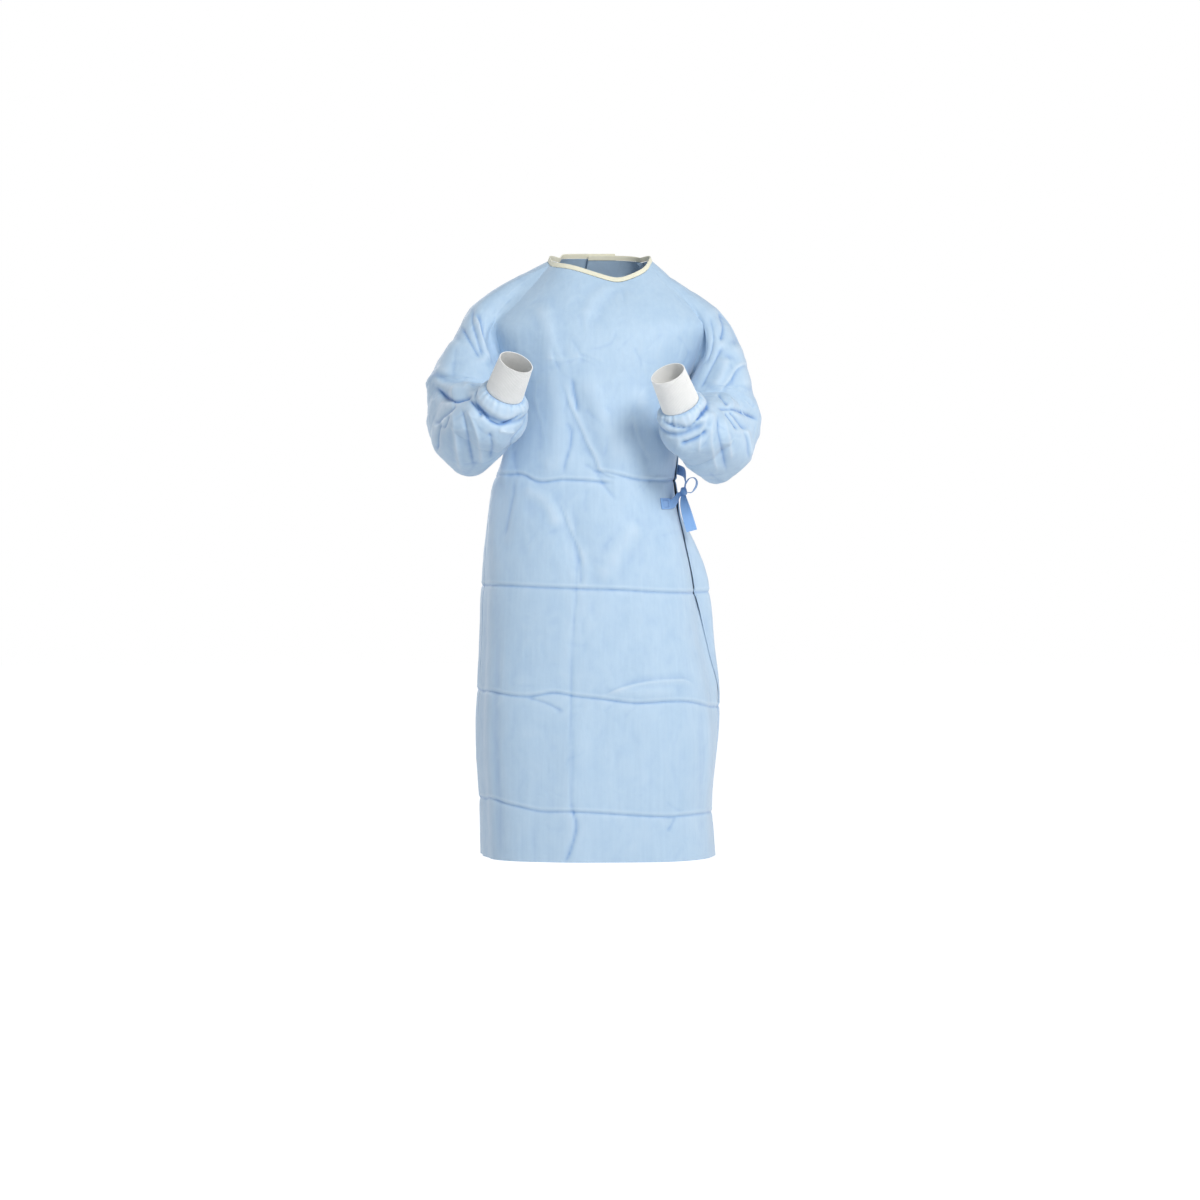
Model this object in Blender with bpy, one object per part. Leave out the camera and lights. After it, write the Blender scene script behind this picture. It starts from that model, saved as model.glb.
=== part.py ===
"""Disposable wrap-back surgical gown, hollow and in its worn form, piece by sewn piece.

Metres, +Z up, the front faces -Y.  The origin is the middle of the neck opening at the
height of the shoulder points, where a wearer's shoulders carry the gown.

Every body panel is read from one surface, panel_point(level, around):
  level   the height below the armpit; above it, the climb up the raglan seams (0 = neck)
  around  -1 left side, 0 middle of the front, 1 right side, 2 middle of the back, 3 = -1
Left and right are the viewer's, looking at the front.
"""
import math

import bmesh
import bpy
import numpy as np

# ---------------------------------------------------------------- driving sizes
CLOTH = 0.0018                 # wall of a cloth piece
SEAM_GAP = 0.0003              # between two pieces sewn edge to edge
RAGLAN_GAP = 0.0008            # the same where two walls meet at an angle
HEM = -1.148
ARMPIT = -0.235
NECK = 0.0
LAYER_LIFT = 0.0075            # outer back panel over what lies under it
CUFF_LENGTH = 0.077
CUFF_HALF_WIDE = (0.0365, 0.033)    # at the sleeve, at the hand
CUFF_HALF_DEEP = (0.0290, 0.026)
CUFF_WALL = 0.0020
BINDING_HEIGHT = 0.0095
BINDING_PROUD = 0.0006         # each face of the binding outside the cloth it ends
BINDING_LIFT = 0.0008          # its foot over the cloth's raw edge
BINDING_LEAN = 0.30            # how far it leans in over its height
TIE_WIDTH = 0.021
TIE_THICK = 0.0014
CORNER_FULLNESS = 0.07         # how far a section swells between its middle and its side

# ---------------------------------------------------------------- sections of the body
# below the armpit: level, left x, right x, front y, back y, side y
BODY_COLUMNS = ("level", "left", "right", "front", "back", "side")
BODY_SECTIONS = (
    (-1.148, -0.2280, 0.2200, -0.195, 0.172, -0.004),
    (-1.045, -0.2315, 0.2160, -0.192, 0.168, -0.004),
    (-0.950, -0.2365, 0.2230, -0.187, 0.163, -0.005),
    (-0.835, -0.2355, 0.2160, -0.181, 0.156, -0.006),
    (-0.720, -0.2290, 0.1920, -0.175, 0.147, -0.007),
    (-0.628, -0.2270, 0.1840, -0.169, 0.139, -0.008),
    (-0.530, -0.2205, 0.1640, -0.160, 0.129, -0.009),
    (-0.455, -0.2135, 0.1470, -0.151, 0.120, -0.010),
    (-0.424, -0.2085, 0.1450, -0.150, 0.119, -0.010),
    (-0.385, -0.1930, 0.1480, -0.151, 0.121, -0.010),
    (-0.330, -0.1780, 0.1560, -0.154, 0.127, -0.010),
    (-0.280, -0.1690, 0.1640, -0.156, 0.132, -0.010),
    (-0.235, -0.1660, 0.1660, -0.155, 0.135, -0.010),
)
# above it: level, then for front and back the middle's y and z, the seam's x, y and z,
# and the angle that a half section turns through from its middle to the seam
YOKE_COLUMNS = ("level",
                "front_y", "front_z", "front_seam_x", "front_seam_y", "front_seam_z", "front_turn",
                "back_y", "back_z", "back_seam_x", "back_seam_y", "back_seam_z", "back_turn")
YOKE_SECTIONS = (
    (-0.235, -0.155, -0.235, 0.166, -0.010, -0.235, 90, 0.135, -0.235, 0.166, -0.010, -0.235, 90),
    (-0.200, -0.151, -0.197, 0.181, -0.044, -0.200, 76, 0.137, -0.197, 0.180, 0.028, -0.200, 76),
    (-0.160, -0.144, -0.160, 0.193, -0.064, -0.160, 64, 0.136, -0.155, 0.186, 0.054, -0.158, 66),
    (-0.120, -0.134, -0.128, 0.198, -0.071, -0.120, 57, 0.130, -0.110, 0.182, 0.066, -0.112, 60),
    (-0.080, -0.119, -0.096, 0.166, -0.066, -0.084, 52, 0.117, -0.066, 0.155, 0.069, -0.068, 56),
    (-0.040, -0.100, -0.066, 0.128, -0.045, -0.040, 58, 0.094, -0.020, 0.118, 0.061, -0.025, 60),
    (0.000, -0.077, -0.036, 0.098, -0.022, 0.000, 75, 0.070, 0.018, 0.082, 0.035, 0.010, 70),
)
# free edges of the two back panels (around) and how far the outer one stands off
FLAP_COLUMNS = ("level", "outer_edge", "inner_edge", "stand_off")
FLAP_EDGES = (
    (-1.148, 1.22, 2.45, 0.004),
    (-1.045, 1.18, 2.45, 0.002),
    (-0.950, 1.12, 2.45, 0.001),
    (-0.910, 1.09, 2.45, 0.005),
    (-0.835, 1.02, 2.45, 0.0135),
    (-0.780, 0.96, 2.45, 0.0185),
    (-0.720, 0.926, 2.45, 0.0235),
    (-0.680, 0.892, 2.45, 0.0235),
    (-0.650, 0.850, 2.45, 0.0225),
    (-0.620, 0.815, 2.45, 0.0225),
    (-0.570, 0.81, 2.45, 0.0160),
    (-0.530, 0.82, 2.45, 0.0075),
    (-0.500, 0.85, 2.45, -0.002),
    (-0.455, 0.90, 2.45, -0.003),
    (-0.424, 0.97, 2.45, -0.003),
    (-0.385, 1.10, 2.42, -0.003),
    (-0.330, 1.24, 2.38, 0.000),
    (-0.235, 1.40, 2.32, 0.000),
    (-0.120, 1.58, 2.26, 0.000),
    (0.000, 1.72, 2.22, 0.000),
)
LIFT_FADE = (2.72, 2.98)       # where the outer panel comes down to the left side seam (around)
STAND_OFF_AT = 1.04            # the middle of the part that stands off (around)
STAND_OFF_REACH = (0.13, 0.28)  # and how far it reaches to the front and to the back of that
SIDE_CLOSE = 0.0012            # how much closer than elsewhere the two layers lie there
SIDE_CLOSE_LEVELS = (0.60, 0.71)
# the neckline hangs askew in front: middle (around), half width, rise; and the levels it fades over
NECK_SKEW = ((-0.44, 0.42, 0.0172), (0.27, 0.20, -0.0052))
NECK_SKEW_LEVELS = (-0.13, 0.0)
# fold lines pressed into the gown when it was packed: level, depth, half width
PACKING_FOLDS = ((-1.045, 0.0032, 0.016), (-0.835, 0.0032, 0.016),
                 (-0.628, 0.0028, 0.016), (-0.424, 0.0028, 0.014))
# soft folds of the worn gown: from and to (around, level), half width, rise (+) or trough (-)
FOLD_COLUMNS = ("from_around", "from_level", "to_around", "to_level", "half_width", "rise")
SOFT_FOLDS = (
    (-0.18, -0.23, -0.02, -0.42, 0.030, -0.0050),
    (-0.10, -0.24, 0.06, -0.40, 0.028, 0.0040),
    (-0.20, -0.47, -0.08, -0.60, 0.030, -0.0045),
    (-0.66, -0.42, -0.58, -0.56, 0.030, -0.0050),
    (-0.13, -0.86, -0.14, -1.15, 0.040, 0.0050),
    (0.30, -0.48, 0.16, -0.80, 0.045, -0.0040),
    (0.42, -0.66, 0.38, -1.15, 0.050, 0.0050),
    (-0.80, -0.56, -0.78, -1.15, 0.035, -0.0060),
    (-0.48, -0.74, -0.50, -1.15, 0.055, 0.0045),
    (2.72, -0.50, 2.70, -1.15, 0.045, 0.0110),
    (2.54, -0.44, 2.52, -1.15, 0.040, -0.0100),
    (2.34, -0.30, 2.32, -1.15, 0.048, 0.0110),
    (2.14, -0.46, 2.15, -1.15, 0.042, -0.0100),
    (1.94, -0.30, 1.95, -1.15, 0.048, 0.0110),
    (1.74, -0.46, 1.74, -1.15, 0.042, -0.0090),
    (1.55, -0.44, 1.54, -1.15, 0.048, 0.0100),
    (2.10, -0.06, 2.55, -0.24, 0.030, -0.0050),
    (1.62, -0.12, 1.45, -0.36, 0.034, -0.0060),
)
PANEL_LEVELS = (-1.148, -1.100, -1.063, -1.045, -1.027, -0.975, -0.910, -0.853, -0.835,
                -0.817, -0.765, -0.700, -0.646, -0.628, -0.610, -0.570, -0.530, -0.490,
                -0.455, -0.440, -0.424, -0.408, -0.370, -0.325, -0.280, -0.235)
YOKE_LEVELS = (-0.205, -0.175, -0.145, -0.115, -0.085, -0.055, -0.027, 0.0)
ALL_LEVELS = PANEL_LEVELS + YOKE_LEVELS
SIDE_SEAM_REACH = 0.06         # folds die out this near to a side seam (around)
NECK_FADE = (-0.05, -0.005)    # and between these levels
FRONT_COLUMNS = 22
OUTER_BACK_COLUMNS = 27
INNER_BACK_COLUMNS = 11

# ---------------------------------------------------------------- sleeves
NECK_STEPS = 4                 # steps of a sleeve along the neck, between its two seams
SHOULDER_RINGS = 7             # rings from the raglan seam to the start of the elbow
ELBOW_STEPS = 9
FOREARM_RINGS = 5
ELBOW_PIVOT_ROOM = 0.010       # from the inner wall of the elbow to the line its rings turn on
ARMS = {
    "left": dict(side=-1, shoulder=(-0.222, 0.000, -0.100), elbow=(-0.268, -0.100, -0.345),
                 cuff_base=(-0.179, -0.250, -0.262), cuff_axis=(0.30, -0.66, 0.69),
                 cuff_wide=(0.885, -0.07, -0.46), half_wide=0.073, half_deep=0.074, sag=0.022,
                 shoulder_room=0.024),
    "right": dict(side=1, shoulder=(0.208, 0.000, -0.100), elbow=(0.246, -0.100, -0.358),
                  cuff_base=(0.1507, -0.250, -0.2835), cuff_axis=(-0.319, -0.643, 0.695),
                  cuff_wide=(-0.915, 0.017, -0.404), half_wide=0.070, half_deep=0.074, sag=0.024,
                  shoulder_room=0.006),
}
# folds that fan out from the inside of the elbow: angle round the tube (0 at the underarm,
# 90 in front, 180 outside), half width in degrees, rise
ELBOW_FOLDS = ((38, 15, -0.006), (72, 14, 0.005), (108, 15, -0.006), (142, 15, 0.005),
               (182, 17, -0.006), (222, 17, 0.006), (262, 18, -0.006), (304, 18, 0.006))
SEAM_FLOW = 0.55               # share of the panel's own direction in the sleeve's start
SEAM_INWARD = 0.02             # how far inside the seam a panel's direction is read (around)
OUTWARD_PULL = 1.12            # start of the shoulder curve against its straight length
DOWNWARD_PULL = 0.95
NECK_OUT = (0.95, 0.0, -0.30)  # way out of the neck along the top of a sleeve, right side
NECK_NORMAL = (0.35, 0.0, 0.93)
NECK_BULGE = (0.010, 0.0, 0.006)    # how far the neck line bows out between its two seams
NECK_BLEND = (-0.13, 0.0)      # levels over which the panel's direction becomes NECK_OUT
SHOULDER_OUT = (0.75, 0.0, 0.66)    # the way that shoulder_room moves the outside of the sleeve
SEAM_ANGLE = 150               # angle from the underarm to the top of each raglan seam
# where the sleeves' cloth bulges and dents along the outline: the middle and the reach in degrees
# round the sleeve, then the way down from the seam and the rise there, in mm
SLEEVE_OUTLINES = {
    "left": ((205, 60, ((0, 0), (27, -6), (66, -9), (106, -8), (133, -17.5), (162, -22), (201, 0),
                        (214, 14), (244, 1), (296, -4), (330, 0))),
             (290, 36, ((300, 0), (321, 13), (339, 8), (365, 3), (400, 0)))),
    "right": ((205, 60, ((0, 0), (29, -10), (61, -6.5), (98, 2.5), (128, 2.5), (156, -4), (186, -11),
                         (215, -7), (249, 0), (260, -4), (279, -11), (303, -15), (330, 0))),
              (292, 36, ((300, 0), (320, 4), (334, 9.5), (349, 5), (373, 9), (410, 0)))),
}
ELBOW_SAG = 0.5                # share of the sag at the elbow, and along the forearm
FOREARM_SAG = 0.6
FOLD_START = 0.12              # how strong the elbow's folds are at its first ring
TAPER_POWER = 2.2              # how late the forearm narrows to the cuff
SHARED_NORMAL = 0.2            # least agreement for a seam normal to be shared

# ---------------------------------------------------------------- waist tie
TIE_LIFT = 0.0008              # a tie's back over the cloth it is sewn to
KNOT = (0.1615, -0.0640, -0.4420)
KNOT_HALF = (0.0070, 0.0095, 0.0095)
KNOT_GAP = 0.0000              # from the middle of a tie's end to the knot it comes out of
TAB_KNOT_GAP = 0.0005          # the same for the tab, which meets the knot aslant
TAB_SEWN = ((0.52, -0.4665), (0.5455, -0.4665), (0.6364, -0.4660))       # around, level
TAB_FREE = ((0.1400, -0.0850, -0.4650), (0.1465, -0.0775, -0.4570), (0.1510, -0.0720, -0.4490))
TAB_WIDTHS = (0.021, 0.021, 0.021, 0.019, 0.015, 0.011, 0.008)
BACK_TIE_SEWN = ((1.34, -0.3945), (1.26, -0.3945), (1.18, -0.3945))
BACK_TIE_FREE = ((0.1620, -0.0120, -0.4020), (0.1650, -0.0300, -0.4110), (0.1655, -0.0440, -0.4225),
                 (0.1640, -0.0520, -0.4320))
BACK_TIE_WIDTHS = (0.020, 0.020, 0.020, 0.020, 0.020, 0.016, 0.011, 0.008)
LOOP_PATH = ((0.1658, -0.0680, -0.4265), (0.1705, -0.0670, -0.4195), (0.1765, -0.0655, -0.4158),
             (0.1830, -0.0640, -0.4170), (0.1865, -0.0630, -0.4230), (0.1855, -0.0630, -0.4305),
             (0.1815, -0.0630, -0.4375), (0.1760, -0.0635, -0.4430))
LOOP_WIDTHS = (0.009, 0.013, 0.016, 0.018, 0.018, 0.018, 0.018, 0.018, 0.015, 0.010)
LOOP_ACROSS = (0.22, 0.97, 0.05)
TAIL_PATH = ((0.1612, -0.0750, -0.4560), (0.1630, -0.0768, -0.4680), (0.1672, -0.0782, -0.4850),
             (0.1722, -0.0792, -0.5025), (0.1768, -0.0800, -0.5180))
TAIL_WIDTHS = (0.009, 0.013, 0.018, 0.021, 0.022, 0.022)
TAIL_ACROSS = (0.95, 0.28, 0.12)


# ---------------------------------------------------------------- numbers and curves
def unit(vector):
    """The vector at length one."""
    vector = np.asarray(vector, float)
    return vector / np.linalg.norm(vector)


def bridge(t, start, start_pull, end, end_pull):
    """Smooth curve from start to end that leaves and arrives along the two pulls."""
    return ((2 * t**3 - 3 * t**2 + 1) * start + (t**3 - 2 * t**2 + t) * start_pull
            + (-2 * t**3 + 3 * t**2) * end + (t**3 - t**2) * end_pull)


def curve_through(keys, values, at):
    """Smooth curve through the table's values, read at one key and held level past its ends."""
    keys = np.asarray(keys, float)
    values = np.asarray(values, float)
    at = min(max(at, keys[0]), keys[-1])
    i = int(min(max(np.searchsorted(keys, at) - 1, 0), len(keys) - 2))
    slopes = np.gradient(values, keys, axis=0)
    span = keys[i + 1] - keys[i]
    return bridge((at - keys[i]) / span, values[i], span * slopes[i],
                  values[i + 1], span * slopes[i + 1])


def read_table(table, columns, level):
    """One row of a table at a level, as a dictionary of its named columns."""
    keys = [row[0] for row in table]
    values = [row[1:] for row in table]
    return dict(zip(columns[1:], curve_through(keys, values, level)))


def ease(value, low, high):
    """0 below low, 1 above high, smooth between."""
    t = min(max((value - low) / (high - low), 0.0), 1.0)
    return t * t * (3 - 2 * t)


# ---------------------------------------------------------------- the body's surface
def quarter_point(middle, edge, turn, share):
    """Point of a section between its middle (share 0) and its side edge (share 1)."""
    def swell(angle):
        return 1 + CORNER_FULLNESS * math.sin(2 * angle)**2
    angle = share * turn
    across = math.sin(angle) * swell(angle) / (math.sin(turn) * swell(turn))
    low = math.cos(turn) * swell(turn)
    along = (math.cos(angle) * swell(angle) - low) / (1 - low)
    middle = np.asarray(middle, float)
    edge = np.asarray(edge, float)
    x = middle[0] + (edge[0] - middle[0]) * across
    return np.array((x, *(edge[1:] + (middle[1:] - edge[1:]) * along)))


def section(level, back, right):
    """Middle point, side point and turn of one quarter of the body at a level."""
    if level <= ARMPIT:
        row = read_table(BODY_SECTIONS, BODY_COLUMNS, level)
        middle = (0.0, row["back"] if back else row["front"], level)
        edge = (row["right"] if right else row["left"], row["side"], level)
        return middle, edge, math.radians(90)
    row = read_table(YOKE_SECTIONS, YOKE_COLUMNS, level)
    face = "back" if back else "front"
    side = 1 if right else -1
    middle = (0.0, row[face + "_y"], row[face + "_z"])
    edge = (side * row[face + "_seam_x"], row[face + "_seam_y"], row[face + "_seam_z"])
    return middle, edge, math.radians(row[face + "_turn"])


def neck_skew(level, around):
    """How far the askew neckline is raised or lowered."""
    rise = sum(height * math.exp(-((around - middle) / half_width)**2)
               for middle, half_width, height in NECK_SKEW)
    return rise * (1 - around**8) * ease(level, *NECK_SKEW_LEVELS)


def smooth_point(level, around):
    """Point of the body's surface with no folds."""
    back = around > 1
    share = abs(2 - around) if back else abs(around)
    right = around < 2 if back else around > 0
    middle, edge, turn = section(level, back, right)
    point = quarter_point(middle, edge, turn, share)
    if not back:
        point[2] += neck_skew(level, around)
    return point


def surface_normal(level, around):
    """Outward normal of the body's surface."""
    step = 0.004
    low = around - step
    high = around + step
    if level > ARMPIT and abs(around - 1) < step:
        low, high = (around, around + step) if around > 1 else (around - step, around)
    if level > ARMPIT and around > 3 - step:
        low, high = around - step, around
    if level > ARMPIT and around < step - 1:
        low, high = around, around + step
    across = smooth_point(level, wrap(high)) - smooth_point(level, wrap(low))
    up = smooth_point(min(level + step, NECK), around) - smooth_point(level - step, around)
    return unit(np.cross(across, up))


def wrap(around):
    """The same place with around between -1 and 3."""
    return (around + 1) % 4 - 1 if not -1 <= around <= 3 else around


def fold_rise(level, around):
    """How far the folds lift the cloth along its normal."""
    rise = 0.0
    for fold_level, depth, half_width in PACKING_FOLDS:
        rise -= depth * math.exp(-((level - fold_level) / half_width)**2)
    place = smooth_point(level, around)
    for row in SOFT_FOLDS:
        fold = dict(zip(FOLD_COLUMNS, row))
        start_level, end_level = fold["from_level"], fold["to_level"]
        t = (level - start_level) / (end_level - start_level)
        if not -0.25 < t < 1.25:
            continue
        middle = fold["from_around"] + (fold["to_around"] - fold["from_around"]) * t
        if abs(wrap(middle) - around) > 0.9:
            continue
        offset = np.linalg.norm(place - smooth_point(level, wrap(middle)))
        fade = ease(t, -0.15, 0.3)
        if end_level > HEM:
            fade *= 1 - ease(t, 0.7, 1.15)
        rise += fold["rise"] * fade * math.exp(-(offset / fold["half_width"])**2)
    return rise


def stand_off(height, around):
    """How far the right side stands off at a place, from its height in the middle."""
    reach = STAND_OFF_REACH[0 if around < STAND_OFF_AT else 1]
    return height * math.exp(-((around - STAND_OFF_AT) / reach)**2)


def outer_lift(level, around):
    """How far the outer back panel lies outside the body's surface."""
    flap = read_table(FLAP_EDGES, FLAP_COLUMNS, level)
    return LAYER_LIFT * (1 - ease(around, *LIFT_FADE)) + stand_off(flap["stand_off"], around)


def side_lift(level, around):
    """How far the layer under the outer panel follows it out, low on the right side."""
    flap = read_table(FLAP_EDGES, FLAP_COLUMNS, level)
    return stand_off(flap["stand_off"] + SIDE_CLOSE, around) * ease(-level, *SIDE_CLOSE_LEVELS)


def panel_point(level, around, lift=0.0):
    """Point of a panel's outer face and its normal there."""
    normal = surface_normal(level, around)
    side_fade = 1.0
    if level <= ARMPIT:
        side_fade = 1 - math.exp(-((abs(around) - 1) / SIDE_SEAM_REACH)**2)
    rise = fold_rise(level, around) * side_fade * (1 - ease(level, *NECK_FADE)) + lift
    return smooth_point(level, around) + normal * rise, normal


# ---------------------------------------------------------------- solids
def add_object(name, vertices, faces, color, roughness):
    """One named object of its own material, shaded smooth with its rims sharp."""
    mesh = bpy.data.meshes.new(name)
    shape = bmesh.new()
    corners = [shape.verts.new(tuple(vertex)) for vertex in vertices]
    for face in faces:
        shape.faces.new([corners[index] for index in face])
    bmesh.ops.recalc_face_normals(shape, faces=shape.faces)
    shape.to_mesh(mesh)
    shape.free()
    mesh.shade_smooth()
    mesh.set_sharp_from_angle(angle=math.radians(50))
    material = bpy.data.materials.new(name)
    material.use_nodes = True
    shader = material.node_tree.nodes["Principled BSDF"]
    shader.inputs["Base Color"].default_value = (*color, 1)
    shader.inputs["Roughness"].default_value = roughness
    shader.inputs["Metallic"].default_value = 0.0
    mesh.materials.append(material)
    piece = bpy.data.objects.new(name, mesh)
    bpy.context.scene.collection.objects.link(piece)
    return piece


def wall(name, outer, inner, closed, color, roughness=0.75):
    """A closed wall between two grids of points; closed joins the last column to the first."""
    rows, columns = outer.shape[:2]
    vertices = np.concatenate((outer.reshape(-1, 3), inner.reshape(-1, 3)))
    shift = rows * columns
    steps = columns if closed else columns - 1

    def at(row, column):
        return row * columns + column % columns

    faces = []
    for row in range(rows - 1):
        for column in range(steps):
            quad = (at(row, column), at(row, column + 1), at(row + 1, column + 1), at(row + 1, column))
            faces.append(quad)
            faces.append(tuple(shift + index for index in reversed(quad)))
    for column in range(steps):
        low, high = at(0, column), at(0, column + 1)
        faces.append((high, low, shift + low, shift + high))
        low, high = at(rows - 1, column), at(rows - 1, column + 1)
        faces.append((low, high, shift + high, shift + low))
    if not closed:
        for row in range(rows - 1):
            low, high = at(row, 0), at(row + 1, 0)
            faces.append((low, high, shift + high, shift + low))
            low, high = at(row, columns - 1), at(row + 1, columns - 1)
            faces.append((high, low, shift + low, shift + high))
    return add_object(name, vertices, faces, color, roughness)


def rod(name, corners, color, roughness=0.7):
    """A solid swept through a row of sections, each with the same number of corners."""
    count, sides = corners.shape[:2]
    faces = []
    for row in range(count - 1):
        for side in range(sides):
            low, high = row * sides + side, row * sides + (side + 1) % sides
            faces.append((low, high, high + sides, low + sides))
    faces.append(tuple(reversed(range(sides))))
    faces.append(tuple((count - 1) * sides + side for side in range(sides)))
    return add_object(name, corners.reshape(-1, 3), faces, color, roughness)


# ---------------------------------------------------------------- panels
BEHIND_RIGHT = 1.0 + 1e-6      # the right and left seams, seen from the back's side
BEHIND_LEFT = 3.0 - 1e-6
BLUE = (0.46, 0.67, 0.87)
TIE_BLUE = (0.33, 0.53, 0.83)
KNIT_WHITE = (0.88, 0.89, 0.90)
CREAM = (0.90, 0.87, 0.72)


def panel_grid(levels, columns, start, end, lift):
    """Outer and inner points of a panel; start and end give its edges at each level."""
    outer = np.zeros((len(levels), columns + 1, 3))
    inner = np.zeros_like(outer)
    for row, level in enumerate(levels):
        for column in range(columns + 1):
            around = start(level) + (end(level) - start(level)) * column / columns
            point, normal = panel_point(level, around, lift(level, around))
            outer[row, column] = point
            inner[row, column] = point - normal * CLOTH
    return outer, inner


def trim_edge(outer, inner, column, inside, gap):
    """Draw one edge of a panel back from its seam, towards its inside column."""
    for row in range(outer.shape[0]):
        away = unit(outer[row, inside] - outer[row, column])
        outer[row, column] += away * gap
        inner[row, column] += away * gap


def front_panel():
    """The front, from side seam to side seam and up to the neck between the raglan seams."""
    outer, inner = panel_grid(ALL_LEVELS, FRONT_COLUMNS, lambda v: -1.0, lambda v: 1.0, side_lift)
    trim_edge(outer, inner, 0, 1, SEAM_GAP)
    trim_edge(outer, inner, -1, -2, SEAM_GAP)
    wall("front_panel", outer, inner, False, BLUE)
    return outer, inner


def outer_edge(level):
    """Where the outer back panel's free edge lies."""
    return read_table(FLAP_EDGES, FLAP_COLUMNS, level)["outer_edge"]


def inner_edge(level):
    """Where the inner back panel's free edge lies."""
    return read_table(FLAP_EDGES, FLAP_COLUMNS, level)["inner_edge"]


def inner_back_panel():
    """The back panel sewn to the right side; it lies under the outer one."""
    outer, inner = panel_grid(ALL_LEVELS, INNER_BACK_COLUMNS, lambda v: BEHIND_RIGHT, inner_edge,
                              side_lift)
    trim_edge(outer, inner, 0, 1, SEAM_GAP)
    wall("back_panel_inner", outer, inner, False, BLUE)
    return outer, inner


def outer_back_panel():
    """The back panel sewn to the left side; it crosses the back and closes on the right."""
    outer, inner = panel_grid(ALL_LEVELS, OUTER_BACK_COLUMNS, outer_edge, lambda v: BEHIND_LEFT,
                              outer_lift)
    trim_edge(outer, inner, -1, -2, SEAM_GAP)
    wall("back_panel_outer", outer, inner, False, BLUE)
    return outer, inner


# ---------------------------------------------------------------- sleeves
def seam_place(level, around, step, neck_out):
    """A point of the raglan seam, the way the sleeve leaves it and the panel's normal there."""
    point, normal = panel_point(level, around)
    inside = panel_point(level, around + step)[0]
    share = ease(level, *NECK_BLEND)
    out = unit(unit(point - inside) * (1 - share) + neck_out * share)
    return point, out, normal


def seam_start(side):
    """The sleeve's first ring, on the raglan seams and the neck: point, way out and normal."""
    mirror = np.array((side, 1, 1))
    front, back = (1.0, BEHIND_RIGHT) if side > 0 else (-1.0, BEHIND_LEFT)
    neck_out = unit(mirror * NECK_OUT)
    neck_normal = unit(mirror * NECK_NORMAL)
    armpit, armpit_normal = panel_point(ARMPIT, front)
    ring = [(armpit, armpit_normal, armpit_normal)]
    for level in YOKE_LEVELS:
        ring.append(seam_place(level, front, -side * SEAM_INWARD, neck_out))
    neck_front = ring[-1][0]
    neck_back = seam_place(NECK, back, side * SEAM_INWARD, neck_out)[0]
    for step in range(1, NECK_STEPS):
        t = step / NECK_STEPS
        point = neck_front * (1 - t) + neck_back * t + mirror * NECK_BULGE * math.sin(math.pi * t)
        ring.append((point, neck_out, neck_normal))
    for level in reversed(YOKE_LEVELS):
        ring.append(seam_place(level, back, side * SEAM_INWARD, neck_out))
    return ring


def ring_angles():
    """Angle of each point round the sleeve: 0 at the underarm, 90 in front, 180 outside."""
    steps = len(YOKE_LEVELS)
    neck = 2 * (180 - SEAM_ANGLE)
    front = [SEAM_ANGLE * i / steps for i in range(steps + 1)]
    top = [SEAM_ANGLE + neck * i / NECK_STEPS for i in range(1, NECK_STEPS)]
    back = [360 - SEAM_ANGLE * (steps - i) / steps for i in range(steps)]
    return [math.radians(angle) for angle in front + top + back]


def elbow_fold_rise(angle):
    """The elbow's folds at one angle round the tube."""
    rise = 0.0
    for middle, half_width, height in ELBOW_FOLDS:
        offset = (math.degrees(angle) - middle + 180) % 360 - 180
        rise += height * math.exp(-(offset / half_width)**2)
    return rise


def tube_ring(centre, inward, forward, half_wide, half_deep, folds=0.0):
    """A ring of the sleeve: inward points at the body, forward at the inside of the elbow."""
    points = []
    for angle in ring_angles():
        direction = inward * half_wide * math.cos(angle) + forward * half_deep * math.sin(angle)
        points.append(centre + direction + unit(direction) * elbow_fold_rise(angle) * folds)
    return np.array(points)


def arm_frame(arm):
    """The directions of an arm and the line that its elbow's rings turn on."""
    shoulder, elbow = np.array(arm["shoulder"]), np.array(arm["elbow"])
    upper = unit(elbow - shoulder)
    fore = unit(np.array(arm["cuff_base"]) - elbow)
    outward = unit(np.cross(upper, fore))
    if outward[0] * arm["side"] < 0:
        outward = -outward
    turn = math.acos(float(np.dot(upper, fore)))
    reach = arm["half_deep"] + ELBOW_PIVOT_ROOM
    return {"upper": upper, "fore": fore, "outward": outward, "turn": turn,
            "forward": unit(fore - upper * float(np.dot(fore, upper))),
            "pivot": elbow + unit(fore - upper) * reach / math.cos(turn / 2)}


def elbow_forward(frame, share):
    """The way from the tube's middle to the inside of the elbow, at a share of its bend."""
    angle = share * frame["turn"]
    return frame["forward"] * math.cos(angle) - frame["upper"] * math.sin(angle)


def elbow_ring(arm, frame, share):
    """One ring of the bend."""
    ahead = elbow_forward(frame, share)
    deep = arm["half_deep"] + ELBOW_SAG * arm["sag"] * math.sin(math.pi * share)
    centre = frame["pivot"] - ahead * (ELBOW_PIVOT_ROOM + deep)
    folds = math.sin(math.pi * min(FOLD_START + share, 1.0))
    return tube_ring(centre, -frame["outward"], ahead, arm["half_wide"], deep, folds)


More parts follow.
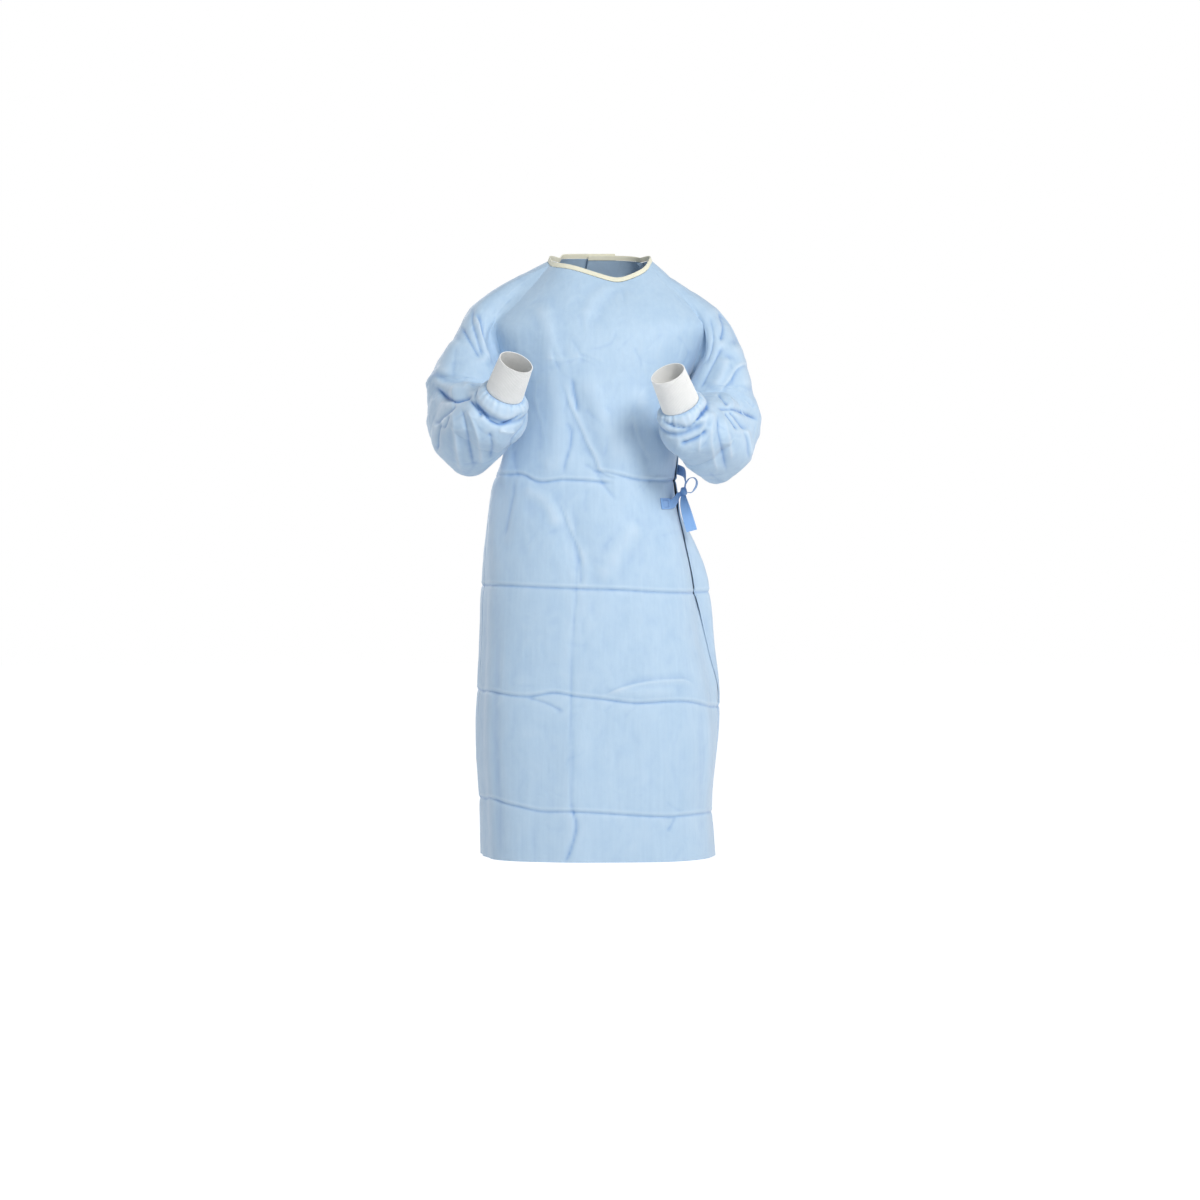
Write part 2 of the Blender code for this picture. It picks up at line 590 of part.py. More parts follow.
def shoulder_rings(arm, frame, start):
    """From the raglan seam down to the first ring of the elbow, which isn't among them."""
    end_points = elbow_ring(arm, frame, 0.0)
    first = np.array([point + out * RAGLAN_GAP for point, out, normal in start])
    room = np.array((arm["side"], 1, 1)) * SHOULDER_OUT * arm["shoulder_room"]
    rings = [first]
    for step in range(1, SHOULDER_RINGS):
        t = step / SHOULDER_RINGS
        ring = []
        for begin, end, angle, (point, out, normal) in zip(first, end_points, ring_angles(), start):
            length = np.linalg.norm(end - begin)
            away = unit(out * SEAM_FLOW + (end - begin) / length * (1 - SEAM_FLOW))
            outside = (0.5 - 0.5 * math.cos(angle)) * math.sin(math.pi * t)
            ring.append(bridge(t, begin, away * length * OUTWARD_PULL,
                               end, frame["upper"] * length * DOWNWARD_PULL) + room * outside)
        rings.append(np.array(ring))
    return rings


def cuff_frame(arm, frame):
    """The cuff's start, its axis, and the wide and deep directions of its oval."""
    axis = unit(arm["cuff_axis"])
    wide = unit(arm["cuff_wide"])
    forward = unit(np.cross(wide, axis))
    if np.dot(forward, elbow_forward(frame, 1.0)) < 0:
        forward = -forward
    return np.array(arm["cuff_base"]), axis, wide, forward


def forearm_rings(arm, frame):
    """From the elbow's last ring, which isn't among them, to the cuff."""
    base, axis, wide, forward = cuff_frame(arm, frame)
    elbow_ahead = elbow_forward(frame, 1.0)
    start = frame["pivot"] - elbow_ahead * (ELBOW_PIVOT_ROOM + arm["half_deep"])
    run = np.linalg.norm(base - start)
    sag = np.array((0.0, 0.0, -arm["sag"] * FOREARM_SAG))
    rings = []
    for step in range(1, FOREARM_RINGS + 1):
        t = step / FOREARM_RINGS
        centre = bridge(t, start, frame["fore"] * run, base, axis * run) + sag * math.sin(math.pi * t)
        inward = unit(-frame["outward"] * (1 - t) + wide * t)
        ahead = unit(elbow_ahead * (1 - t) + forward * t)
        narrow = t**TAPER_POWER
        half_wide = arm["half_wide"] * (1 - narrow) + CUFF_HALF_WIDE[0] * narrow
        half_deep = arm["half_deep"] * (1 - narrow) + CUFF_HALF_DEEP[0] * narrow
        rings.append(tube_ring(centre, inward, ahead, half_wide, half_deep, 1 - t))
    return rings


def ring_normals(grid):
    """Outward normals of a tube's points from their neighbours."""
    around = np.roll(grid, -1, axis=1) - np.roll(grid, 1, axis=1)
    along = np.gradient(grid, axis=0)
    normals = np.cross(around, along)
    normals /= np.linalg.norm(normals, axis=2, keepdims=True)
    middle = grid.shape[0] // 2
    centre = grid[middle].mean(axis=0)
    if np.dot(normals[middle, 0], grid[middle, 0] - centre) < 0:
        normals = -normals
    return normals


def outline_rise(name, grid):
    """How far each point of a sleeve's rings bulges or dents."""
    steps = np.linalg.norm(np.diff(grid, axis=0), axis=2).mean(axis=1)
    down = np.concatenate(([0.0], np.cumsum(steps)))
    degrees = np.degrees(ring_angles())
    rise = np.zeros(grid.shape[:2])
    for middle, reach, stops in SLEEVE_OUTLINES[name]:
        places, heights = np.array(stops, float).T / 1000
        rise += np.outer(np.interp(down, places, heights),
                         np.exp(-((degrees - middle) / reach)**2))
    return rise


def sleeve(name):
    """One raglan sleeve and its knitted cuff."""
    arm = ARMS[name]
    frame = arm_frame(arm)
    start = seam_start(arm["side"])
    rings = shoulder_rings(arm, frame, start)
    for step in range(ELBOW_STEPS + 1):
        rings.append(elbow_ring(arm, frame, step / ELBOW_STEPS))
    grid = np.array(rings + forearm_rings(arm, frame))
    grid = grid + ring_normals(grid) * outline_rise(name, grid)[..., None]
    normals = ring_normals(grid)
    for index, (point, out, shared) in enumerate(start):
        if np.dot(normals[0, index], shared) > SHARED_NORMAL:
            normals[0, index] = unit(normals[0, index] + shared)
    inner = grid - normals * CLOTH
    wall("sleeve_" + name, grid, inner, True, BLUE)
    cuff(name, *cuff_frame(arm, frame))
    return grid, inner


def cuff(name, base, axis, wide, forward):
    """The knitted tube sewn to the end of the sleeve."""
    outer = []
    inner = []
    for share in (0.0, 0.5, 1.0):
        centre = base + axis * (SEAM_GAP + CUFF_LENGTH * share)
        half_wide = CUFF_HALF_WIDE[0] + (CUFF_HALF_WIDE[1] - CUFF_HALF_WIDE[0]) * share
        half_deep = CUFF_HALF_DEEP[0] + (CUFF_HALF_DEEP[1] - CUFF_HALF_DEEP[0]) * share
        outer.append(tube_ring(centre, wide, forward, half_wide, half_deep))
        inner.append(tube_ring(centre, wide, forward, half_wide - CUFF_WALL, half_deep - CUFF_WALL))
    wall("cuff_" + name, np.array(outer), np.array(inner), True, KNIT_WHITE, 0.9)


# ---------------------------------------------------------------- neck binding
def neck_stations(front, outer_back, inner_back, left, right):
    """Points along the neck with their outward normals, from the outer flap to the inner one."""
    seams = len(YOKE_LEVELS)
    pairs = []
    for column in range(OUTER_BACK_COLUMNS + 1):
        pairs.append((outer_back[0][-1, column], outer_back[1][-1, column]))
    for step in range(NECK_STEPS - 1, 0, -1):
        pairs.append((left[0][0, seams + step], left[1][0, seams + step]))
    for column in range(FRONT_COLUMNS + 1):
        pairs.append((front[0][-1, column], front[1][-1, column]))
    for step in range(1, NECK_STEPS):
        pairs.append((right[0][0, seams + step], right[1][0, seams + step]))
    for column in range(INNER_BACK_COLUMNS + 1):
        pairs.append((inner_back[0][-1, column], inner_back[1][-1, column]))
    return [(outer, unit(outer - inner)) for outer, inner in pairs]


def neck_binding(stations):
    """The folded tape along the neck; its two ends overlap at the back like the panels do."""
    corners = []
    for index, (point, normal) in enumerate(stations):
        before = stations[max(index - 1, 0)][0]
        after = stations[min(index + 1, len(stations) - 1)][0]
        across = unit(np.cross(after - before, (0, 0, 1)))
        if np.dot(across[:2], point[:2]) < 0:
            across = -across
        up = unit(np.array((0, 0, 1.0)) - across * BINDING_LEAN)
        out = unit(across - up * float(np.dot(across, up)))
        low_out = point + normal * BINDING_PROUD + up * BINDING_LIFT
        low_in = point - normal * (CLOTH + BINDING_PROUD) + up * BINDING_LIFT
        high_out = low_out + up * BINDING_HEIGHT
        high_in = high_out - out * (CLOTH + 2 * BINDING_PROUD)
        corners.append((low_out, high_out, high_in, low_in))
    rod("neck_binding", np.array(corners), CREAM)


# ---------------------------------------------------------------- waist tie
def ribbon(name, top, bottom, outward):
    """A flat tape between two rails; its thickness starts out on the outward side of them."""
    corners = []
    along = np.gradient((np.array(top) + np.array(bottom)) / 2, axis=0)
    sense = 1.0 if np.dot(np.cross(along[0], top[0] - bottom[0]), outward) > 0 else -1.0
    for high, low, run in zip(top, bottom, along):
        thick = unit(np.cross(run, high - low)) * sense * TIE_THICK
        corners.append((high, low, low + thick, high + thick))
    rod(name, np.array(corners), TIE_BLUE)


def rails(path, across, widths):
    """The two edges of a tape from its middle line, the direction of its width and its widths."""
    path = np.array(path, float)
    along = np.gradient(path, axis=0)
    top, bottom = [], []
    for point, run, width in zip(path, along, widths):
        run = unit(run)
        side = unit(np.asarray(across, float) - run * float(np.dot(across, run)))
        top.append(point + side * width / 2)
        bottom.append(point - side * width / 2)
    return top, bottom


def place_on(outer, first, last, level, around):
    """Point of a panel's own faceted face, between its rows and columns."""
    row = int(np.searchsorted(ALL_LEVELS, level)) - 1
    share = (level - ALL_LEVELS[row]) / (ALL_LEVELS[row + 1] - ALL_LEVELS[row])
    points = []
    for index in (row, row + 1):
        start, end = first(ALL_LEVELS[index]), last(ALL_LEVELS[index])
        place = (around - start) / (end - start) * (outer.shape[1] - 1)
        column = int(min(max(place, 0), outer.shape[1] - 2))
        part = place - column
        points.append(outer[index, column] * (1 - part) + outer[index, column + 1] * part)
    return points[0] * (1 - share) + points[1] * share


def sewn_rail(outer, first, last, places, shift):
    """One edge of a tie that lies on a panel, moved up or down by shift."""
    rail = []
    for around, level in places:
        lift = surface_normal(level, around) * TIE_LIFT
        rail.append(place_on(outer, first, last, level + shift, around) + lift)
    return rail


def at_knot(point, gap=KNOT_GAP):
    """Where a tie that comes from this point meets the knot."""
    away = unit(np.array(point) - KNOT)
    reach = 1 / np.linalg.norm(away / KNOT_HALF)
    return tuple(np.array(KNOT) + away * (reach + gap))


def sewn_tie(name, outer, first, last, places, free, widths, outward):
    """A tie that starts on a panel and runs free."""
    half = widths[0] / 2
    free_top, free_bottom = rails(free, (0.0, 0.0, 1.0), widths[len(places):])
    top = sewn_rail(outer, first, last, places, half) + free_top
    bottom = sewn_rail(outer, first, last, places, -half) + free_bottom
    ribbon(name, top, bottom, outward)


def waist_tie(front, outer_back):
    """Front tab, tie of the outer panel, knot, bow loop and hanging end."""
    tab = (*TAB_FREE, at_knot(TAB_FREE[-1], TAB_KNOT_GAP))
    sewn_tie("tie_front_tab", front[0], lambda v: -1.0, lambda v: 1.0, TAB_SEWN, tab, TAB_WIDTHS,
             (0.5, -0.8, 0.0))
    back = (*BACK_TIE_FREE, at_knot(BACK_TIE_FREE[-1]))
    sewn_tie("tie_back", outer_back[0], outer_edge, lambda v: BEHIND_LEFT, BACK_TIE_SEWN, back,
             BACK_TIE_WIDTHS, (1.0, 0.2, 0.0))
    loop = (at_knot(LOOP_PATH[0]), *LOOP_PATH, at_knot(LOOP_PATH[-1]))
    ribbon("tie_loop", *rails(loop, LOOP_ACROSS, LOOP_WIDTHS), (0.0, 0.0, 1.0))
    tail = (at_knot(TAIL_PATH[0]), *TAIL_PATH)
    ribbon("tie_hanging_end", *rails(tail, TAIL_ACROSS, TAIL_WIDTHS), (0.0, -1.0, 0.0))
    ball = bmesh.new()
    bmesh.ops.create_icosphere(ball, subdivisions=2, radius=1.0)
    vertices = [np.array(KNOT) + np.array(KNOT_HALF) * np.array(vertex.co) for vertex in ball.verts]
    faces = [tuple(vertex.index for vertex in face.verts) for face in ball.faces]
    ball.free()
    add_object("tie_knot", vertices, faces, TIE_BLUE, 0.7)


# ---------------------------------------------------------------- the gown
def main():
    """Build every piece."""
    for old in list(bpy.data.objects):
        bpy.data.objects.remove(old)
    front = front_panel()
    inner_back = inner_back_panel()
    outer_back = outer_back_panel()
    left = sleeve("left")
    right = sleeve("right")
    neck_binding(neck_stations(front, outer_back, inner_back, left, right))
    waist_tie(front, outer_back)


main()
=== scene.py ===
"""Looks of the surgical gown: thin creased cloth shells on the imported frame's forms.

Metres, +Z up, the front faces -Y.  Every surface comes from the same named sizes and tables as
the solids, sampled finely, with creases laid on it.  Left and right are the viewer's.
"""

import math

import bpy
import numpy as np
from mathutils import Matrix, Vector


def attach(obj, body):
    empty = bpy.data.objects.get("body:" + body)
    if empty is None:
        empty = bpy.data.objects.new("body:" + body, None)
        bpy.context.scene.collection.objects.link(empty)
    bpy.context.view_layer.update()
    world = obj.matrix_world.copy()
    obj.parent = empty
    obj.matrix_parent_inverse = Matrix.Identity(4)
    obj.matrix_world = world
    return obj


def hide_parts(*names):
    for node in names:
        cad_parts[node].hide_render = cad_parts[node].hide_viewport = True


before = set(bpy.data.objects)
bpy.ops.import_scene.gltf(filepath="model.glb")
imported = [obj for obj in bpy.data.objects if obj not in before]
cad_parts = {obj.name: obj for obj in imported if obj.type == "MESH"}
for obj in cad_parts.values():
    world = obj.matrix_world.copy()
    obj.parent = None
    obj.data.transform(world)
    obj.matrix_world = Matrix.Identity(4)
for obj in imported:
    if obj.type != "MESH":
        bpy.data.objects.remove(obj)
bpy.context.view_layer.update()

# ---------------------------------------------------------------- sizes shared with the solids
SHELL = 0.0009                 # thickness of the cloth shells
RAGLAN_GAP = 0.0008
SEAM_GAP = 0.0003
HEM = -1.148
ARMPIT = -0.235
NECK = 0.0
LAYER_LIFT = 0.0075
CUFF_LENGTH = 0.077
CUFF_HALF_WIDE = (0.0365, 0.033)
CUFF_HALF_DEEP = (0.0290, 0.026)
CORNER_FULLNESS = 0.07
BINDING_HEIGHT = 0.0095
BINDING_LIFT = 0.0008
BINDING_LEAN = 0.30

BODY_COLUMNS = ("level", "left", "right", "front", "back", "side")
BODY_SECTIONS = (
    (-1.148, -0.2280, 0.2200, -0.195, 0.172, -0.004),
    (-1.045, -0.2315, 0.2160, -0.192, 0.168, -0.004),
    (-0.950, -0.2365, 0.2230, -0.187, 0.163, -0.005),
    (-0.835, -0.2355, 0.2160, -0.181, 0.156, -0.006),
    (-0.720, -0.2290, 0.1920, -0.175, 0.147, -0.007),
    (-0.628, -0.2270, 0.1840, -0.169, 0.139, -0.008),
    (-0.530, -0.2205, 0.1640, -0.160, 0.129, -0.009),
    (-0.455, -0.2135, 0.1470, -0.151, 0.120, -0.010),
    (-0.424, -0.2085, 0.1450, -0.150, 0.119, -0.010),
    (-0.385, -0.1930, 0.1480, -0.151, 0.121, -0.010),
    (-0.330, -0.1780, 0.1560, -0.154, 0.127, -0.010),
    (-0.280, -0.1690, 0.1640, -0.156, 0.132, -0.010),
    (-0.235, -0.1660, 0.1660, -0.155, 0.135, -0.010),
)
YOKE_COLUMNS = ("level",
                "front_y", "front_z", "front_seam_x", "front_seam_y", "front_seam_z", "front_turn",
                "back_y", "back_z", "back_seam_x", "back_seam_y", "back_seam_z", "back_turn")
YOKE_SECTIONS = (
    (-0.235, -0.155, -0.235, 0.166, -0.010, -0.235, 90, 0.135, -0.235, 0.166, -0.010, -0.235, 90),
    (-0.200, -0.151, -0.197, 0.181, -0.044, -0.200, 76, 0.137, -0.197, 0.180, 0.028, -0.200, 76),
    (-0.160, -0.144, -0.160, 0.193, -0.064, -0.160, 64, 0.136, -0.155, 0.186, 0.054, -0.158, 66),
    (-0.120, -0.134, -0.128, 0.198, -0.071, -0.120, 57, 0.130, -0.110, 0.182, 0.066, -0.112, 60),
    (-0.080, -0.119, -0.096, 0.166, -0.066, -0.084, 52, 0.117, -0.066, 0.155, 0.069, -0.068, 56),
    (-0.040, -0.100, -0.066, 0.128, -0.045, -0.040, 58, 0.094, -0.020, 0.118, 0.061, -0.025, 60),
    (0.000, -0.077, -0.036, 0.098, -0.022, 0.000, 75, 0.070, 0.018, 0.082, 0.035, 0.010, 70),
)
FLAP_COLUMNS = ("level", "outer_edge", "inner_edge", "stand_off")
FLAP_EDGES = (
    (-1.148, 1.22, 2.45, 0.004),
    (-1.045, 1.18, 2.45, 0.002),
    (-0.950, 1.12, 2.45, 0.001),
    (-0.910, 1.09, 2.45, 0.005),
    (-0.835, 1.02, 2.45, 0.0135),
    (-0.780, 0.96, 2.45, 0.0185),
    (-0.720, 0.926, 2.45, 0.0235),
    (-0.680, 0.892, 2.45, 0.0235),
    (-0.650, 0.850, 2.45, 0.0225),
    (-0.620, 0.815, 2.45, 0.0225),
    (-0.570, 0.81, 2.45, 0.0160),
    (-0.530, 0.82, 2.45, 0.0075),
    (-0.500, 0.85, 2.45, -0.002),
    (-0.455, 0.90, 2.45, -0.003),
    (-0.424, 0.97, 2.45, -0.003),
    (-0.385, 1.10, 2.42, -0.003),
    (-0.330, 1.24, 2.38, 0.000),
    (-0.235, 1.40, 2.32, 0.000),
    (-0.120, 1.58, 2.26, 0.000),
    (0.000, 1.72, 2.22, 0.000),
)
LIFT_FADE = (2.72, 2.98)       # where the outer panel comes down to the left side seam (around)
STAND_OFF_AT = 1.04            # the middle of the part that stands off (around)
STAND_OFF_REACH = (0.13, 0.28)  # and how far it reaches to the front and to the back of that
SIDE_CLOSE = 0.0012            # how much closer than elsewhere the two layers lie there
SIDE_CLOSE_LEVELS = (0.60, 0.71)
NECK_SKEW = ((-0.44, 0.42, 0.0172), (0.27, 0.20, -0.0052))
NECK_SKEW_LEVELS = (-0.13, 0.0)
NORMAL_STEP = 0.004            # how far apart the places are that give a normal
BEHIND_RIGHT = 1.0 + 1e-6
BEHIND_LEFT = 3.0 - 1e-6
SIDE_SEAM_REACH = 0.06
NECK_FADE = (-0.05, -0.005)
FOLD_COLUMNS = ("from_around", "from_level", "to_around", "to_level", "half_width", "rise")
SOFT_FOLDS = (
    (-0.18, -0.23, -0.02, -0.42, 0.030, -0.0050),
    (-0.10, -0.24, 0.06, -0.40, 0.028, 0.0040),
    (-0.20, -0.47, -0.08, -0.60, 0.030, -0.0045),
    (-0.66, -0.42, -0.58, -0.56, 0.030, -0.0050),
    (-0.13, -0.86, -0.14, -1.15, 0.040, 0.0050),
    (0.30, -0.48, 0.16, -0.80, 0.045, -0.0040),
    (0.42, -0.66, 0.38, -1.15, 0.050, 0.0050),
    (-0.80, -0.56, -0.78, -1.15, 0.035, -0.0060),
    (-0.48, -0.74, -0.50, -1.15, 0.055, 0.0045),
    (2.72, -0.50, 2.70, -1.15, 0.045, 0.0110),
    (2.54, -0.44, 2.52, -1.15, 0.040, -0.0100),
    (2.34, -0.30, 2.32, -1.15, 0.048, 0.0110),
    (2.14, -0.46, 2.15, -1.15, 0.042, -0.0100),
    (1.94, -0.30, 1.95, -1.15, 0.048, 0.0110),
    (1.74, -0.46, 1.74, -1.15, 0.042, -0.0090),
    (1.55, -0.44, 1.54, -1.15, 0.048, 0.0100),
    (2.10, -0.06, 2.55, -0.24, 0.030, -0.0050),
    (1.62, -0.12, 1.45, -0.36, 0.034, -0.0060),
)
FOLD_START = (-0.15, 0.3)      # where a broad fold rises, in shares of its length
FOLD_END = (0.7, 1.15)         # and where it fades, if it ends above the hem
FOLD_SHARES = (-0.25, 1.25)    # the shares between which it is worked out
FOLD_AROUND = 0.9              # how far around the body it reaches at most
YOKE_LEVELS = (-0.205, -0.175, -0.145, -0.115, -0.085, -0.055, -0.027, 0.0)

ELBOW_PIVOT_ROOM = 0.010
ARMS = {
    "left": dict(side=-1, shoulder=(-0.222, 0.000, -0.100), elbow=(-0.268, -0.100, -0.345),
                 cuff_base=(-0.179, -0.250, -0.262), cuff_axis=(0.30, -0.66, 0.69),
                 cuff_wide=(0.885, -0.07, -0.46), half_wide=0.073, half_deep=0.074, sag=0.022,
                 shoulder_room=0.024),
    "right": dict(side=1, shoulder=(0.208, 0.000, -0.100), elbow=(0.246, -0.100, -0.358),
                  cuff_base=(0.1507, -0.250, -0.2835), cuff_axis=(-0.319, -0.643, 0.695),
                  cuff_wide=(-0.915, 0.017, -0.404), half_wide=0.070, half_deep=0.074, sag=0.024,
                  shoulder_room=0.006),
}
ELBOW_FOLDS = ((38, 15, -0.006), (72, 14, 0.005), (108, 15, -0.006), (142, 15, 0.005),
               (182, 17, -0.006), (222, 17, 0.006), (262, 18, -0.006), (304, 18, 0.006))
SEAM_FLOW = 0.55
SEAM_INWARD = 0.02
OUTWARD_PULL = 1.12
DOWNWARD_PULL = 0.95
NECK_OUT = (0.95, 0.0, -0.30)
NECK_NORMAL = (0.35, 0.0, 0.93)
NECK_BULGE = (0.010, 0.0, 0.006)
NECK_BLEND = (-0.13, 0.0)
SHOULDER_OUT = (0.75, 0.0, 0.66)
SEAM_ANGLE = 150
ELBOW_SAG = 0.5
FOREARM_SAG = 0.6
TAPER_POWER = 2.2

TIE_LIFT = 0.0008
TIE_THICK = 0.0012
TIE_EDGE = (0.45, 0.96)        # how thick it is at its edges, as a share, and how sharply it ends
SEWN_LIFT = 0.0004             # how much higher than that the sewn part of a tie lies here
TIE_CREASE = (0.4, 0.62, 0.07)  # the fold along a tie: its depth in thicknesses, place and width
KNOT = (0.1615, -0.0640, -0.4420)
KNOT_HALF = (0.0070, 0.0095, 0.0095)
TAB_SEWN = ((0.52, -0.4665), (0.5455, -0.4665), (0.6364, -0.4660))
TAB_FREE = ((0.1400, -0.0850, -0.4650), (0.1465, -0.0775, -0.4570), (0.1510, -0.0720, -0.4490))
TAB_WIDTHS = (0.021, 0.021, 0.021, 0.019, 0.015, 0.011, 0.008)
BACK_TIE_SEWN = ((1.34, -0.3945), (1.26, -0.3945), (1.18, -0.3945))
BACK_TIE_FREE = ((0.1620, -0.0120, -0.4020), (0.1650, -0.0300, -0.4110),
                 (0.1655, -0.0440, -0.4225), (0.1640, -0.0520, -0.4320))
BACK_TIE_WIDTHS = (0.020, 0.020, 0.020, 0.020, 0.020, 0.016, 0.011, 0.008)
LOOP_PATH = ((0.1658, -0.0680, -0.4265), (0.1705, -0.0670, -0.4195), (0.1765, -0.0655, -0.4158),
             (0.1830, -0.0640, -0.4170), (0.1865, -0.0630, -0.4230), (0.1855, -0.0630, -0.4305),
             (0.1815, -0.0630, -0.4375), (0.1760, -0.0635, -0.4430))
LOOP_WIDTHS = (0.009, 0.013, 0.016, 0.018, 0.018, 0.018, 0.018, 0.018, 0.015, 0.010)
LOOP_ACROSS = (0.22, 0.97, 0.05)
TAIL_PATH = ((0.1612, -0.0750, -0.4560), (0.1630, -0.0768, -0.4680), (0.1672, -0.0782, -0.4850),
             (0.1722, -0.0792, -0.5025), (0.1768, -0.0800, -0.5180))
TAIL_WIDTHS = (0.009, 0.013, 0.018, 0.021, 0.022, 0.022)
TAIL_ACROSS = (0.95, 0.28, 0.12)

# where the sleeves' cloth bulges and dents along the outline: the middle and the reach in degrees
# round the sleeve, then the way down from the seam and the rise there, in mm
SLEEVE_OUTLINES = {
    "left": ((205, 60, ((0, 0), (27, -6), (66, -9), (106, -8), (133, -17.5), (162, -22), (201, 0),
                        (214, 14), (244, 1), (296, -4), (330, 0))),
             (290, 36, ((300, 0), (321, 13), (339, 8), (365, 3), (400, 0)))),
    "right": ((205, 60, ((0, 0), (29, -10), (61, -6.5), (98, 2.5), (128, 2.5), (156, -4),
                         (186, -11), (215, -7), (249, 0), (260, -4), (279, -11), (303, -15),
                         (330, 0))),
              (292, 36, ((300, 0), (320, 4), (334, 9.5), (349, 5), (373, 9), (410, 0)))),
}

# ---------------------------------------------------------------- fineness
SKIRT_ROWS = 277               # rows of a panel up to the armpit
YOKE_ROWS = 80                 # and above it
FRONT_COLUMNS = 176
OUTER_BACK_COLUMNS = 220
INNER_BACK_COLUMNS = 110
SLEEVE_COLUMNS = 184
SHOULDER_ROWS = 96
ELBOW_ROWS = 96
FOREARM_ROWS = 60
FOLD_BANDS = ((-0.417, 0.022), (-0.630, 0.022), (-0.842, 0.036), (-1.047, 0.036))
FOLD_CROWDING = 1.3            # how much closer the rows lie in these bands
LOWEST_REACH = 2               # a shell's inner face clears the rows and columns so near
HOLLOW_REACH = 4               # and a hollow is told from the cloth so near
TIE_STEPS = 8                  # rows of a tie between two points of its path
TIE_POINTS = 33                # points across it
CUFF_ROWS = 41
RIB_POINTS = 6                 # columns for each rib of a cuff
TAPE_SECTIONS = 421            # sections along the neck tape
TAPE_SETTLES = 6               # times that its line is smoothed
TAPE_FOLD_POINTS = 9
KNOT_COLUMNS = 32
KNOT_ROWS = 19

# ---------------------------------------------------------------- camera
VIEW_DISTANCE = 6.5            # camera to the plane y = 0
VIEW_HEIGHT = -0.651
FLOOR = -1.57


# ---------------------------------------------------------------- numbers and curves
def unit(vector):
    """Vectors at length one, along the last axis."""
    vector = np.asarray(vector, float)
    return vector / np.linalg.norm(vector, axis=-1, keepdims=True)


def bridge(t, start, start_pull, end, end_pull):
    """Smooth curve from start to end that leaves and arrives along the two pulls."""
    return ((2 * t**3 - 3 * t**2 + 1) * start + (t**3 - 2 * t**2 + t) * start_pull
            + (-2 * t**3 + 3 * t**2) * end + (t**3 - t**2) * end_pull)


def curve_through(keys, values, at):
    """Smooth curve through the table's values, read at one key and held level past its ends."""
    keys = np.asarray(keys, float)
    values = np.asarray(values, float)
    at = min(max(at, keys[0]), keys[-1])
    i = int(min(max(np.searchsorted(keys, at) - 1, 0), len(keys) - 2))
    slopes = np.gradient(values, keys, axis=0)
    span = keys[i + 1] - keys[i]
    return bridge((at - keys[i]) / span, values[i], span * slopes[i],
                  values[i + 1], span * slopes[i + 1])


def read_table(table, columns, level):
    """One row of a table at a level, as a dictionary of its named columns."""
    keys = [row[0] for row in table]
    values = [row[1:] for row in table]
    return dict(zip(columns[1:], curve_through(keys, values, level)))


def ease(value, low, high):
    """0 below low, 1 above high, smooth between; value may be an array."""
    t = np.clip((np.asarray(value, float) - low) / (high - low), 0.0, 1.0)
    return t * t * (3 - 2 * t)


def lengths_along(points):
    """How far each point of a line lies along it."""
    return np.concatenate(([0], np.cumsum(np.linalg.norm(np.diff(points, axis=0), axis=1))))


def read_line(points, keys, at):
    """Points of a line, or directions along it, at some lengths from its start."""
    return np.stack([np.interp(at, keys, points[:, axis]) for axis in range(3)], axis=1)


RNG = np.random.default_rng(20)
NOISE_ORDER = RNG.permutation(256)
NOISE_WAYS = unit(RNG.normal(size=(256, 3)))


def noise(points):
    """Smooth random values of about -0.7 to 0.7, one for each point, with features of size 1."""
    points = np.asarray(points, float)
    cell = np.floor(points).astype(int)
    part = points - cell
    blend = part**3 * (part * (part * 6 - 15) + 10)
    total = np.zeros(points.shape[:-1])
    for corner in np.ndindex(2, 2, 2):
        index = NOISE_ORDER[(cell[..., 0] + corner[0]) & 255]
        index = NOISE_ORDER[(index + cell[..., 1] + corner[1]) & 255]
        index = NOISE_ORDER[(index + cell[..., 2] + corner[2]) & 255]
        weight = np.ones(points.shape[:-1])
        for axis in range(3):
            weight = weight * (blend[..., axis] if corner[axis] else 1 - blend[..., axis])
        total += weight * np.sum((part - corner) * NOISE_WAYS[index], axis=-1)
    return total


def crumple(points, size, stretch=(1, 1, 1)):
    """Paper-like wrinkles between about -1 and 1: thin ridges round shallow dents."""
    place = points / (size * np.asarray(stretch, float))
    warp = np.stack([noise(place * 0.7 + shift) for shift in (11.3, 27.1, 43.9)], axis=-1)
    place = place + warp * 0.9
    return 1 - 3.2 * np.abs(noise(place + 7.7))


# ---------------------------------------------------------------- the body's surface
def quarter_points(middle, edge, turn, share):
    """Points of a section between its middle (share 0) and its side edge (share 1)."""
    def swell(angle):
        return 1 + CORNER_FULLNESS * np.sin(2 * angle)**2
    angle = share * turn
    across = np.sin(angle) * swell(angle) / (math.sin(turn) * swell(turn))
    low = math.cos(turn) * swell(turn)
    along = (np.cos(angle) * swell(angle) - low) / (1 - low)
    x = middle[0] + (edge[0] - middle[0]) * across
    y = edge[1] + (middle[1] - edge[1]) * along
    z = edge[2] + (middle[2] - edge[2]) * along
    return np.stack((x, y, z), axis=-1)


def section(level, back, right):
    """Middle point, side point and turn of one quarter of the body at a level."""
    if level <= ARMPIT:
        row = read_table(BODY_SECTIONS, BODY_COLUMNS, level)
        middle = (0.0, row["back"] if back else row["front"], level)
        edge = (row["right"] if right else row["left"], row["side"], level)
        return middle, edge, math.radians(90)
    row = read_table(YOKE_SECTIONS, YOKE_COLUMNS, level)
    face = "back" if back else "front"
    side = 1 if right else -1
    middle = (0.0, row[face + "_y"], row[face + "_z"])
    edge = (side * row[face + "_seam_x"], row[face + "_seam_y"], row[face + "_seam_z"])
    return middle, edge, math.radians(row[face + "_turn"])


